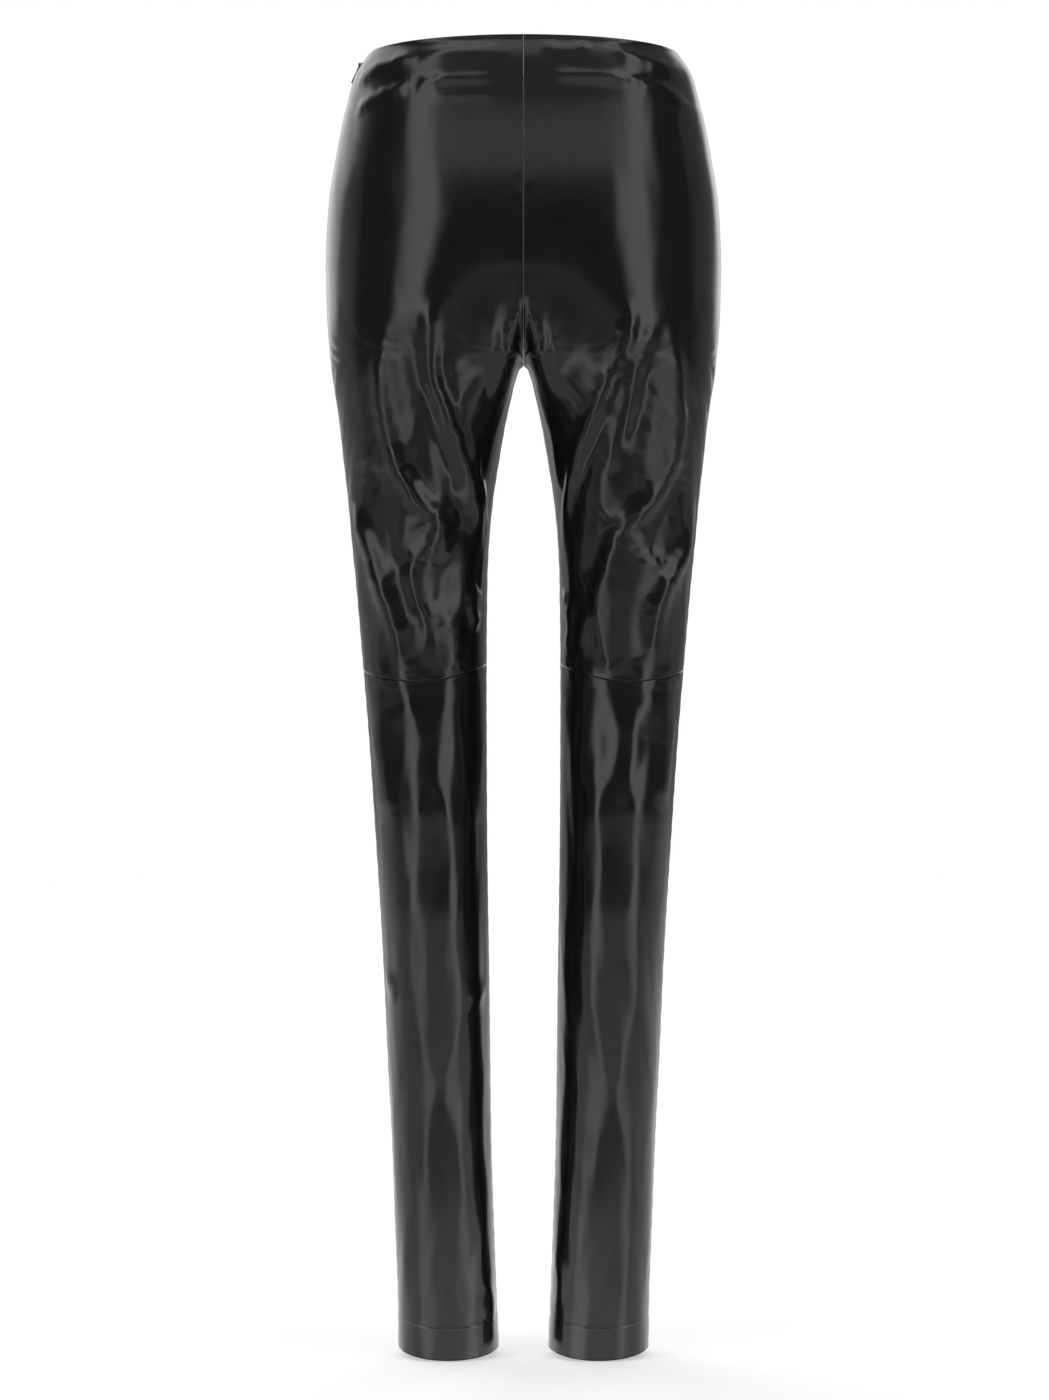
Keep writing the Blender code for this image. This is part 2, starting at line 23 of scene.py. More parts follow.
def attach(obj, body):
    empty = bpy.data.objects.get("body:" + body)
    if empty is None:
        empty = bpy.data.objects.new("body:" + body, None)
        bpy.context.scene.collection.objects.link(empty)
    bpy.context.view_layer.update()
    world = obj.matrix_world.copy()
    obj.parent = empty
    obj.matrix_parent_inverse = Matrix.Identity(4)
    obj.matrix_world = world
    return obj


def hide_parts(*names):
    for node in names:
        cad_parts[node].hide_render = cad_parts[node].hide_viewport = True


bl_info = {
    "name": "Leather-look leggings",
    "version": (1, 0, 0),
    "blender": (4, 5, 0),
    "location": "3D View > Sidebar > Leggings",
    "description": "Glossy leggings in their worn shape, with seams behind the knees and a hidden side zip",
    "category": "Add Mesh",
}

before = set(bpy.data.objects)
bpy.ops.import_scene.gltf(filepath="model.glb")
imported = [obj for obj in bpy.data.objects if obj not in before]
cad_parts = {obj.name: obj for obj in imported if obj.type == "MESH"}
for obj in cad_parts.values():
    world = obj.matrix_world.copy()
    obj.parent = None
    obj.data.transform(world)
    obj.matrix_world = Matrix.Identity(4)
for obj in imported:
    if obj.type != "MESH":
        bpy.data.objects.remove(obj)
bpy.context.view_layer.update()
MM = 0.001

# Driving sizes, as in the solids
OUTSEAM = 1045.0
RISE = 250.0
SEAT_START = 175.0
SEAT_EASE_START = 140.0
HEM_DIP = 6.0
HEM_TURN = 27.0
CLOTH = 1.4
TURNED_EDGE = 2.2
KNEE_INSEAM, KNEE_BACK, KNEE_SIDE = 492.0, 507.0, 497.0

# Sewing
SEAM_ROLL = 0.9  # radius of the cloth's turn into a seam
SEAM_MEETING = 0.04  # each panel stops this far short of the seam
SEAM_GAP_REACH = 6.0  # and leans away from it over this distance
ALLOWANCE, ALLOWANCE_THICK = 8.5, 0.6  # the edges pressed open behind a seam
LEAST_WALL = 0.05  # a rolled edge keeps at least this thickness
EDGE_EASE = 0.02  # a turned edge is a little less round than half its thickness
EDGE_STEPS = (0.0, 0.25, 0.55, 0.9, 1.4, 2.1, 3.2, 4.8, 6.8, 8.4, 9.8)  # rows and columns beside an edge
FACING_DEPTH = 44.0  # the waist edge is turned in by this much
FACING_STEP = 2.5
FACING_DENT, FACING_CALM = 0.25, 11.0  # its lower edge shows as a faint dent, not beside the centre seam
WAIST_PINCH, WAIST_PINCH_DEPTH = 1.3, 8.0  # the edge itself leans in this much over this depth
HEM_STEP, HEM_DENT = 0.11, 0.06  # the turned hem stands out, above a stitched-in line
SEAM_LIFT, SEAM_LIFT_SOFT = 0.12, 3.5  # the pressed-open edges lift the cloth beside a seam

# Puckers beside a seam: how far they reach, their length, and how that drifts along the seam
Pucker = namedtuple("Pucker", "reach length drift drift_length")
SIDE_PUCKER = Pucker(4.0, 2.9, 2.2, 37)
ABOVE_KNEE_PUCKER = Pucker(4.5, 3.1, 1.6, 23)
BELOW_KNEE_PUCKER = Pucker(4.5, 2.6, 1.8, 19)
PUCKER_MIDDLE = 3.5
KNEE_PUCKER_SHARE = 1.4  # the knee seams pucker this much more than the side seams

# Zip in the wearer's left side seam
ZIP_END = 175.0
TAPE_THICK = 1.0
TAPE_STATIONS = (-12, -8, -5, -3.6, -2.0, 2.0, 3.6, 5, 8, 12)  # places across the tape, from the seam
TAPE_STEP = 2.0
TAPE_TOP = 4.0
TAPE_BEHIND = CLOTH + ALLOWANCE_THICK + 0.35  # the tape lies this far behind the cloth's outer face
SLIDER_DOWN = 8.0
SLIDER_LENGTH, SLIDER_WIDTH, SLIDER_THICK = 8.6, 6.4, 2.2
SLIDER_INSIDE = 3.0
NECK_LENGTH, NECK_WIDTH = 4.8, 1.3
NECK_OUTSIDE = 0.6
BAIL_OUTER, BAIL_INNER = 1.6, 0.8
SEAM_EYE = 1.6
SEAM_EYE_LENGTH = 4.5
PULL_LENGTH, PULL_THICK = 16.5, 0.9
PULL_EYE_WIDTH, PULL_EYE_LENGTH = 1.9, 1.55
PULL_TIP = 2.0
SLIDER_CORNER, NECK_CORNER, EYE_CORNER = 1.8, 0.5, 0.3
SLIDER_BEVEL, NECK_BEVEL, PULL_BEVEL = 0.35, 0.12, 0.22
NECK_IN_BAIL = 0.2
BAIL_FROM, BAIL_TO = -30, 210  # the bail's arc, in degrees
COIL_PITCH, COIL_RADIUS, COIL_WIRE = 1.15, 1.3, 0.36
COIL_FROM_SLIDER, COIL_END = 8.0, ZIP_END - 3
COIL_STEPS = 10  # in one turn
COIL_WIDE, COIL_DEEP = 0.55, 0.5  # half of one side's width and depth, in radii
COIL_MESHED, COIL_BEHIND = 0.15, 1.0  # how far the sides mesh, and how far behind the tape their middle lies

# Cross-sections of the torso half: half width, depth behind and in front of the side seam
Torso = namedtuple("Torso", "down half_width back front")
TORSO = (
    Torso(0, 126.8, 86, 96),
    Torso(10, 132.3, 91, 98),
    Torso(20, 137.3, 96, 100),
    Torso(37, 141.8, 103, 103),
    Torso(53, 145.8, 109, 105),
    Torso(85, 151.9, 117, 107),
    Torso(117, 157.1, 122, 107),
    Torso(150, 159.3, 125, 106),
    Torso(175, 160.0, 126, 104),
    Torso(198, 159.6, 125, 102),
    Torso(215, 158.8, 122, 100),
    Torso(250, 155.6, 114, 96),
)

# Cross-sections of one leg: outer edge from the centre line, depths, squareness (2 is an ellipse), and how
# much of the depth is taken from the outer side, where the thigh is still part of the hip
Leg = namedtuple("Leg", "down outer back front squareness hip")
LEG = (
    Leg(140, 159.0, 123, 103, 2.7, 0.30),
    Leg(200, 159.0, 119, 100, 2.7, 0.29),
    Leg(250, 155.6, 110, 94, 2.65, 0.27),
    Leg(296, 149.0, 98, 88, 2.45, 0.19),
    Leg(328, 145.4, 88, 84, 2.35, 0.12),
    Leg(360, 141.8, 80, 79, 2.25, 0.06),
    Leg(393, 138.9, 73, 75, 2.2, 0.02),
    Leg(425, 135.7, 68, 71, 2.15, 0),
    Leg(500, 129.2, 59, 63, 2.1, 0),
    Leg(555, 124.7, 57, 56, 2.1, 0),
    Leg(620, 120.3, 61, 49, 2.1, 0),
    Leg(684, 116.2, 61, 45, 2.1, 0),
    Leg(749, 112.6, 56, 42, 2.1, 0),
    Leg(814, 109.8, 50, 41, 2.1, 0),
    Leg(879, 106.5, 45, 40, 2.1, 0),
    Leg(944, 104.1, 41, 40, 2.1, 0),
    Leg(1008, 101.7, 39, 40, 2.1, 0),
    Leg(1060, 101.1, 38, 40, 2.1, 0),
)

# Half the gap between the legs, at the inseams
Gap = namedtuple("Gap", "down inner")
GAP = (
    Gap(RISE, 0.0),
    Gap(253, 3.2),
    Gap(257, 4.7),
    Gap(263, 6.6),
    Gap(280, 10.6),
    Gap(296, 14.2),
    Gap(328, 19.8),
    Gap(360, 24.7),
    Gap(393, 27.9),
    Gap(425, 29.3),
    Gap(500, 30.0),
    Gap(620, 29.6),
    Gap(749, 27.7),
    Gap(879, 26.0),
    Gap(944, 23.9),
    Gap(1008, 21.5),
    Gap(1060, 19.2),
)
SEAT_CURVE = 2.2
TORSO_SQUARENESS = 2.15
COLUMN_SQUEEZE = 0.7

# How far the cloth is filled out beside the centre seams, where the torso's section meets the legs'
Seat = namedtuple("Seat", "down fill")
SEAT = (
    Seat(128, 0.0),
    Seat(140, 0.0),
    Seat(152, 1.8),
    Seat(165, 6.8),
    Seat(175, 12.3),
    Seat(190, 20.5),
    Seat(203, 24.0),
    Seat(215, 22.5),
    Seat(225, 16.0),
    Seat(235, 8.0),
    Seat(243, 2.5),
    Seat(RISE, 0.0),
)
FILL_RISE = 0.0165  # the fill rises over this much of the way across, beside the seam
FILL_FADE = (0.05, 0.19)  # and fades between these

# The seat is evened out over this distance. Each pair says where that fades in or out.
SEAT_EVEN = 9.0
SEAT_EVEN_FROM, SEAT_EVEN_TO, SEAT_EVEN_OUT = (136, 160), (208, 234), (70, 105)
THIGH_EVEN_TO, THIGH_EVEN_FROM = (262, 290), (12, 28)  # the thighs go on further down, away from the cleft
SEAT_GRID_TOP, SEAT_GRID_END, SEAT_WIDE = 110, 310, 125  # the evened grid: depths, and half its width
SEAT_SAMPLED = (118, 0.36, 900)  # its samples: the first one's depth, the last one's place across, how many

# How far the cloth stands out at the cleft, where the seat turns under and the thighs meet
Under = namedtuple("Under", "down out")
UNDER_SEAT = (
    Under(196, 0.0),
    Under(204, 2.4),
    Under(212, 6.5),
    Under(220, 13.0),
    Under(228, 21.0),
    Under(236, 30.0),
    Under(244, 38.0),
    Under(252, 45.0),
    Under(260, 47.0),
    Under(268, 43.0),
    Under(280, 30.0),
    Under(294, 13.0),
    Under(312, 0.0),
)
UNDER_WIDTH = 22.0  # how far that spreads from the centre
UNDER_BEHIND = (8, 45)  # it fades in between these depths behind the side seams
CLEFT, CLEFT_SHARE = 3.5, 0.3  # the width of the cleft at the seam, and the share of it that stays

# Folds, as seen from behind (or from the front): points are (x, down), height is negative for a trough, and
# left and right are the widths of the two flanks, towards -X and +X
Fold = namedtuple("Fold", "face path height left right")
FOLDS = (
    # left leg, from the seat to the knee seam
    Fold("back", ((-106, 212), (-111, 246), (-113, 271), (-112, 286), (-108, 309), (-99, 337),
                  (-84, 363), (-71, 378), (-65, 394)), 3.4, 8, 7),
    Fold("back", ((-104, 312), (-93, 346), (-81, 366), (-70, 380), (-63, 396), (-60, 420)), 4.2, 28, 9),
    Fold("back", ((-120, 326), (-113, 362), (-106, 396), (-102, 430)), -4.0, 16, 18),
    Fold("back", ((-94, 214), (-88, 240), (-84, 266), (-78, 286), (-73, 304), (-65, 325), (-60, 345),
                  (-52, 366), (-41, 399), (-34, 418)), -2.3, 8, 7),
    Fold("back", ((-61, 202), (-69, 217), (-72, 232), (-71, 271), (-61, 294), (-51, 322), (-44, 345),
                  (-37, 370), (-33, 396), (-31, 420)), 4.0, 7, 7),
    Fold("back", ((-65, 240), (-62, 271), (-54, 298), (-44, 326), (-35, 352)), -1.8, 5, 5),
    Fold("back", ((-45, 300), (-37, 344), (-31, 372), (-28, 410)), 3.2, 5, 6),
    Fold("back", ((-74, 376), (-71, 384), (-76, 400), (-86, 413), (-88, 426), (-84, 438), (-78, 453),
                  (-72, 475), (-69, 498)), 3.6, 7, 15),
    Fold("back", ((-52, 372), (-58, 400), (-64, 430), (-62, 466)), -2.6, 12, 12),
    Fold("back", ((-141, 342), (-132, 376), (-124, 398), (-116, 426), (-105, 453), (-99, 475),
                  (-97, 502)), 4.4, 10, 8),
    Fold("back", ((-37, 428), (-41, 448), (-36, 468)), 2.8, 7, 9),
    Fold("back", ((-100, 408), (-96, 440), (-92, 470), (-90, 502)), -1.8, 8, 9),
    Fold("back", ((-62, 440), (-57, 474), (-54, 504)), 1.8, 10, 10),
    Fold("back", ((-16, 240), (-22, 254), (-26, 274), (-29, 300)), -1.0, 5, 5),
    # right leg
    Fold("back", ((14, 224), (20, 238), (22, 256), (22, 276)), -1.1, 5, 5),
    Fold("back", ((75, 202), (82, 223), (81, 239), (73, 259), (65, 277), (55, 302), (44, 326),
                  (37, 357), (32, 390), (30, 420)), 4.0, 7, 7),
    Fold("back", ((79, 248), (72, 271), (62, 299), (51, 333), (42, 357), (36, 386)), -1.8, 5, 5),
    Fold("back", ((108, 208), (99, 236), (88, 256), (84, 279), (77, 306), (68, 334), (60, 360)), 2.6, 8, 8),
    Fold("back", ((98, 256), (94, 290), (84, 330)), -2.2, 8, 8),
    Fold("back", ((110, 206), (118, 243), (123, 286), (122, 317), (117, 341), (109, 358), (98, 370),
                  (86, 381), (76, 398)), 3.8, 12, 7),
    Fold("back", ((122, 330), (114, 366), (106, 394), (101, 416)), -3.0, 15, 15),
    Fold("back", ((92, 360), (86, 374), (76, 396), (67, 418), (61, 438), (62, 464), (68, 490),
                  (73, 504)), 3.6, 8, 13),
    Fold("back", ((70, 372), (58, 400), (48, 436)), -2.2, 9, 9),
    Fold("back", ((141, 352), (132, 392), (121, 418), (111, 438), (105, 459), (103, 500)), 4.4, 8, 10),
    Fold("back", ((22, 298), (26, 330), (28, 356)), 2.4, 6, 7),
    Fold("back", ((26, 432), (33, 444), (38, 466), (30, 496)), 2.8, 7, 7),
    Fold("back", ((54, 446), (48, 466), (44, 486)), 2.2, 7, 7),
    Fold("back", ((102, 420), (98, 456), (92, 502)), -1.6, 9, 9),
    # below the knee seams
    Fold("back", ((-98, 504), (-88, 530), (-77, 556), (-72, 580), (-82, 610), (-86, 660)), 2.0, 14, 14),
    Fold("back", ((-58, 504), (-66, 532), (-75, 556), (-72, 584), (-62, 612), (-58, 660)), 2.0, 14, 14),
    Fold("back", ((-123, 540), (-114, 580), (-110, 622)), 1.4, 14, 16),
    Fold("back", ((-28, 544), (-34, 583), (-34, 624)), 1.4, 12, 12),
    Fold("back", ((64, 504), (76, 530), (82, 552), (74, 580), (62, 608), (56, 650)), 2.2, 12, 12),
    Fold("back", ((103, 504), (93, 532), (83, 554), (82, 584), (90, 612), (92, 656)), 2.2, 12, 14),
    Fold("back", ((29, 508), (38, 556), (43, 600)), 1.4, 12, 12),
    Fold("back", ((125, 528), (114, 568), (109, 612)), 1.6, 14, 12),
    # calves
    Fold("back", ((-48, 700), (-49, 750), (-56, 800), (-69, 834), (-78, 866), (-80, 940)), 2.1, 16, 16),
    Fold("back", ((-92, 700), (-88, 752), (-78, 800), (-66, 838), (-54, 872), (-46, 940)), 1.9, 16, 15),
    Fold("back", ((-114, 736), (-108, 750), (-98, 758)), 1.6, 8, 9),
    Fold("back", ((-28, 752), (-38, 760), (-46, 760)), 1.6, 7, 7),
    Fold("back", ((58, 690), (55, 756), (64, 802), (70, 838), (61, 872), (53, 940)), 2.1, 15, 14),
    Fold("back", ((93, 690), (90, 750), (80, 800), (74, 836), (80, 870), (84, 940)), 1.9, 14, 15),
    Fold("back", ((36, 670), (30, 752), (29, 824)), 1.0, 11, 12),
    Fold("back", ((-36, 988), (-24, 1006), (-30, 1024)), 1.2, 7, 7),
    Fold("back", ((24, 966), (30, 990), (27, 1016)), 1.2, 7, 7),
    # the front: soft folds from the crotch and at the knees
    Fold("front", ((-16, 236), (-58, 262), (-104, 300)), 2.5, 13, 13),
    Fold("front", ((-30, 276), (-62, 318), (-112, 352)), 2.2, 13, 13),
    Fold("front", ((-50, 468), (-84, 494), (-120, 508)), 2.2, 13, 13),
    Fold("front", ((-36, 520), (-70, 536), (-108, 530)), 1.8, 11, 11),
    Fold("front", ((18, 238), (62, 268), (110, 294)), 2.5, 13, 13),
    Fold("front", ((32, 282), (68, 322), (108, 364)), 2.2, 13, 13),
    Fold("front", ((52, 476), (82, 500), (118, 504)), 2.2, 13, 13),
    Fold("front", ((38, 528), (72, 540), (106, 528)), 1.8, 11, 11),
    Fold("front", ((-60, 830), (-84, 872), (-80, 930)), 1.8, 13, 13),
    Fold("front", ((58, 812), (80, 862), (84, 920)), 1.8, 13, 13),
)

# Where the turned-in waist edge presses through: short creases across the cloth
WAIST_CREASES = (
    Fold("back", ((-135, 30), (-124, 23), (-110, 17), (-80, 15)), 1.5, 6, 6),
    Fold("back", ((-136, 54), (-122, 46), (-106, 42), (-84, 34)), 1.6, 6, 5),
    Fold("back", ((-92, 42), (-66, 36), (-48, 34), (-14, 35)), 1.4, 5, 5),
    Fold("back", ((-80, 46), (-50, 48), (-18, 46)), 0.7, 5, 5),
    Fold("back", ((-84, 12), (-44, 12), (-8, 14)), 1.4, 8, 8),
    Fold("back", ((10, 8), (32, 9), (56, 8)), 1.0, 5, 5),
    Fold("back", ((14, 34), (44, 33), (66, 33), (92, 37)), 1.4, 5, 5),
    Fold("back", ((66, 8), (86, 13), (104, 17), (130, 23)), 1.3, 6, 6),
    Fold("back", ((74, 34), (94, 36), (112, 39), (138, 52)), 1.6, 6, 5),
    Fold("front", ((-112, 40), (-86, 44), (-60, 42)), 1.2, 6, 6),
    Fold("front", ((20, 42), (52, 46), (88, 42)), 1.2, 6, 6),
)
FOLD_SAMPLES = 28
SEAM_CALM = 9.0  # folds die away this close to the centre seams
WIDE_FLANK = 12.5  # a wider flank than this is hollow from its crest on
ROUND_FLANK, HOLLOW_FLANK = 2.0, 1.3  # how fast a flank falls off
OUTLINE_FOLDS = 0.12  # the share of a fold's height that is left where the cloth turns out of sight
OUTLINE = (0.1, 0.55)  # how much of the normal still faces us there
FOLD_END = 0.24  # a fold fades in over this share of its length, and out again
BACK_RISE = 2.4  # the waist edge stands higher at the centre back than at the side seams

# Slow unevenness of the cloth: height, length across and down, and where each wave starts
Wave = namedtuple("Wave", "height across down start")
WAVES = (
    Wave(0.42, 61, 410, 0.4),
    Wave(0.30, 37, 233, 2.1),
    Wave(0.20, 23, 151, 4.4),
    Wave(0.10, 14, 96, 1.2),
)

BELOW_SEAT = (215, 300)  # the cloth is smooth on the seat and uneven from here on
EVEN_ON_SEAT, PUCKER_ON_SEAT = 0.25, 0.35  # what is left of the waves and puckers on the seat
CALM_AT_SEAM = 24.0  # the slow waves grow over this distance from a seam
FRONT_WAVES = 1000.0  # the front's waves are taken from this far round, so they differ from the back's

ON_SEAM = 1e-4
A_LITTLE_DOWN = 0.02
A_LITTLE_ACROSS = 0.01
ROUND_HIP = 460.0  # the half garment is about this far round at the hip
ROW_STEP, FRONT_ROW_STEP = 2.6, 3.2
COLUMNS_UPPER, COLUMNS_LOWER, COLUMNS_FRONT = 84, 58, 76
TOP_TURNED, HEM_TURNED, BOTH_TURNED = (True, False), (False, True), (True, True)  # edges that aren't seams
HALVES = ((-1, "left"), (1, "right"))

# Camera, in metres, and the floor
CAMERA_AWAY, CAMERA_ASIDE, CAMERA_DOWN = 3.0, 0.0008, 0.522
SEEN_HEIGHT = 1.134  # at the leggings
SENSOR_HEIGHT = 24
FLOOR_RADIUS, FLOOR_BELOW = 7000, 0.6
GLOW_FADE, GLOW_SLANT = -0.4, 4.0  # how fast the floor's glow fades away from the leggings, and from above

# Studio: directions in degrees, sideways from the camera's or up from the horizon. A pair says where
# something starts and where it is full.
LOW, DEEP = (2, 12), (16, 26)  # below the horizon
STRIP_HALF, STRIP_SOFT = (10.5, 4.0, -7.5), (12.0, 15.0, -16.0)  # at the horizon, and what low and deep add
STRIP_STRENGTH = (1.0, -0.45, 0.25)
STRIPS_LEAN_FROM = 18.0
LEFT_STRIP, RIGHT_STRIP = (46.0, 0.54, -8.0), (53.0, 0.62, -7.0)  # middle, lean, and what low adds
STRIP_FOOT = (-58, -44)
OVERHEAD_FRONT, OVERHEAD_FAR, OVERHEAD_FAR_LOSS = (19, 25), (34, 46), -0.62
OVERHEAD_MIDDLE, OVERHEAD_LEAN, OVERHEAD_SIDE = 4.0, 0.58, (40, 54)
CEILING_FRONT = (61, 70)
BACKDROP_LEFT, BACKDROP_LEAN, BACKDROP_LEAN_TO, BACKDROP_SOFT = 136.0, -1.1, 20.0, (-9, 9)
BACKDROP_RIGHT, BACKDROP_FOOT = (134, 156), (0.5, 6.0)
BEHIND, BEHIND_LOSS = (162, 172), -0.5  # straight behind the leggings
LEFT_WING, LEFT_WING_SHARE = (92, 108), 0.23
RIGHT_WING, RIGHT_WING_SHARE = (96, 112), 0.15
GROUND_FRONT, GROUND_SIDE, GROUND_SIDE_NEARER = (27, 42), (58, 84), 13.0
HORIZON_TOP, HORIZON_FOOT = (6, 11), (-20, -15)


# ---- the surface -------------------------------------------------------------------------------------------


def curve_through(rows, column, down):
    """The named column of a table at each depth, on one smooth curve through its rows."""
    at = np.array([row.down for row in rows], float)
    values = np.array([getattr(row, column) for row in rows], float)
    steps = np.diff(values) / np.diff(at)
    slopes = np.concatenate([[steps[0]], np.zeros(len(steps) - 1), [steps[-1]]])
    before, after = steps[:-1], steps[1:]
    same_way = before * after > 0
    slopes[1:-1][same_way] = 2 / (1 / before[same_way] + 1 / after[same_way])
    down = np.clip(down, at[0], at[-1])
    row = np.clip(np.searchsorted(at, down, side="right") - 1, 0, len(steps) - 1)
    span = at[row + 1] - at[row]
    t = (down - at[row]) / span
    return (
        values[row] * (1 + 2 * t) * (1 - t) ** 2
        + slopes[row] * span * t * (1 - t) ** 2
        + values[row + 1] * t**2 * (3 - 2 * t)
        + slopes[row + 1] * span * t**2 * (t - 1)
    )


def reach(angle, squareness):
    """How far a superellipse of unit half-axes reaches at this angle."""
    return (np.abs(np.cos(angle)) ** squareness + np.abs(np.sin(angle)) ** squareness) ** (-1 / squareness)


def smoothly(value, low, high):
    """0 below low, 1 above high, with a soft start and end between."""
    t = np.clip((value - low) / (high - low), 0, 1)
    return t * t * (3 - 2 * t)


def resting_surface(across, down):
    """The right half's outer surface before any fold, as an array of points."""
    across, down = np.broadcast_arrays(np.asarray(across, float), np.asarray(down, float))
    past_seam = np.where((across < 0) & (down < RISE), -1.0, 1.0)
    across = np.where(down < RISE, np.abs(across), across)
    turn = np.clip((down - SEAT_START) / (RISE - SEAT_START), 0, 1) * math.pi / 2
    towards_seam = np.abs(2 * np.clip(across, 0, 1) - 1) ** 4
    at_side = smoothly(down, SEAT_EASE_START, RISE)
    at_seam = 1 - np.cos(turn) ** (2 / SEAT_CURVE)
    closing = at_side + (at_seam - at_side) * towards_seam**2

    squeeze = COLUMN_SQUEEZE * np.clip(down / SEAT_START, 0, 1)
    round_torso = math.pi * (across - squeeze * np.sin(2 * math.pi * across) / (2 * math.pi))
    out = reach(round_torso, TORSO_SQUARENESS)
    torso_x = curve_through(TORSO, "half_width", down) * out * np.sin(round_torso)
    behind_hips, ahead = curve_through(TORSO, "back", down), curve_through(TORSO, "front", down)
    torso_depth = np.where(np.cos(round_torso) > 0, behind_hips, ahead)
    torso_y = -torso_depth * out * np.cos(round_torso)

    round_leg = 2 * math.pi * across
    outer = curve_through(LEG, "outer", down)
    inner = curve_through(GAP, "inner", down)
    out = reach(round_leg, curve_through(LEG, "squareness", down))
    leg_x = (outer + inner) / 2 - (outer - inner) / 2 * out * np.cos(round_leg)
    behind, ahead = curve_through(LEG, "back", down), curve_through(LEG, "front", down)
    leg_depth = np.where(np.sin(round_leg) > 0, behind, ahead)
    on_hip = curve_through(LEG, "hip", down) * np.maximum(-np.cos(round_leg), 0)
    leg_y = -leg_depth * (1 - on_hip) * out * np.sin(round_leg)

    seam_drop = (RISE - SEAT_START) * np.sin(turn) ** (2 / SEAT_CURVE)
    side_drop = (RISE - SEAT_START) * turn / (math.pi / 2)
    torso_drop = np.minimum(down, SEAT_START) + side_drop + (seam_drop - side_drop) * towards_seam
    z = -np.where(down < RISE, torso_drop, down)
    x = (1 - closing) * torso_x + closing * leg_x
    y = (1 - closing) * torso_y + closing * leg_y
    beside_seam = np.abs(np.minimum(across, 1 - across))
    fill = (1 - np.exp(-beside_seam / FILL_RISE)) * (1 - smoothly(beside_seam, *FILL_FADE))
    fill *= curve_through(SEAT, "fill", down) * torso_depth / behind_hips
    y += np.where(across < 0.5, -fill, fill)
    return np.stack([x * past_seam, y, z], axis=-1)


def tangent_across(across, down):
    along = resting_surface(across + ON_SEAM, down) - resting_surface(across - ON_SEAM, down)
    return along / np.linalg.norm(along, axis=-1, keepdims=True)


def normal_out(across, down):
    """The outward normal. At a centre seam it never points past the seam's plane."""
    along = tangent_across(across, down)
    below = resting_surface(across, down + A_LITTLE_DOWN) - resting_surface(across, down - A_LITTLE_DOWN)
    normal = np.cross(below, along)
    normal /= np.linalg.norm(normal, axis=-1, keepdims=True)
    on_seam = (np.minimum(across, 1 - across) < ON_SEAM) & (down <= RISE)
    normal[..., 0] = np.where(on_seam, np.minimum(normal[..., 0], 0), normal[..., 0])
    return normal


def knee_line(across):
    """Depth of the seam behind the knee."""
    round_leg = 2 * math.pi * across
    straight = KNEE_INSEAM + (KNEE_SIDE - KNEE_INSEAM) * (1 - np.cos(round_leg)) / 2
    return straight + (KNEE_BACK - (KNEE_INSEAM + KNEE_SIDE) / 2) * np.maximum(np.sin(round_leg), 0) ** 1.5


def hem_line(across):
    return OUTSEAM + HEM_DIP * np.maximum(np.sin(2 * math.pi * across), 0) ** 1.5


def evened_seat():
    """The seat's evened depth behind the centre, on a grid of 1 mm in x and in height."""
    top, round_to, samples = SEAT_SAMPLED
    around, down = np.meshgrid(np.linspace(0, round_to, samples), np.linspace(top, SEAT_GRID_END, samples))
    x, y, z = (resting_surface(around, down)[..., k].reshape(-1) for k in range(3))
    x = np.concatenate([x, -x])
    column, row = np.rint(x + SEAT_WIDE).astype(int), np.rint(np.tile(-z, 2) - SEAT_GRID_TOP).astype(int)
    size = (SEAT_GRID_END - SEAT_GRID_TOP + 1, 2 * SEAT_WIDE + 1)
    kept = (column >= 0) & (column < size[1]) & (row >= 0) & (row < size[0])
    place = (row * size[1] + column)[kept]
    total = np.bincount(place, np.tile(y, 2)[kept], size[0] * size[1]).reshape(size)
    count = np.bincount(place, minlength=size[0] * size[1]).reshape(size).astype(float)
    total, count = total / np.maximum(count, 1), np.minimum(count, 1)
    furthest = round(3 * SEAT_EVEN)
    weights = np.exp(-0.5 * (np.arange(-furthest, furthest + 1) / SEAT_EVEN) ** 2)
    weights /= weights.sum()
    for axis in (0, 1):
        total = np.apply_along_axis(np.convolve, axis, total, weights, "same")
        count = np.apply_along_axis(np.convolve, axis, count, weights, "same")
    return total / np.maximum(count, 1e-6)


EVENED_SEAT = evened_seat()


def even_out_seat(points):
    """The same points with the seat evened out, and with the cloth standing out at the cleft below it."""
    x, y, z = (points[..., k] for k in range(3))
    off_centre = np.abs(x)
    rows, columns = EVENED_SEAT.shape
    column = np.clip(off_centre + SEAT_WIDE, 0, columns - 1.001)
    row = np.clip(-z - SEAT_GRID_TOP, 0, rows - 1.001)
    left, above = column.astype(int), row.astype(int)
    s, t = column - left, row - above
    even = (1 - t) * ((1 - s) * EVENED_SEAT[above, left] + s * EVENED_SEAT[above, left + 1])
    even += t * ((1 - s) * EVENED_SEAT[above + 1, left] + s * EVENED_SEAT[above + 1, left + 1])
    share = smoothly(-z, *SEAT_EVEN_FROM) * (1 - smoothly(-z, *THIGH_EVEN_TO))
    share *= 1 - smoothly(-z, *SEAT_EVEN_TO) * (1 - smoothly(off_centre, *THIGH_EVEN_FROM))
    share *= (1 - smoothly(off_centre, *SEAT_EVEN_OUT)) * (y < 0)
    out = curve_through(UNDER_SEAT, "out", -z) * np.exp(-((x / UNDER_WIDTH) ** 2))
    out *= (1 - CLEFT_SHARE * np.exp(-((x / CLEFT) ** 2))) * smoothly(-y, *UNDER_BEHIND)
    return np.stack([x, y + share * (even - y) - out, z], axis=-1)


# ---- folds -------------------------------------------------------------------------------------------------


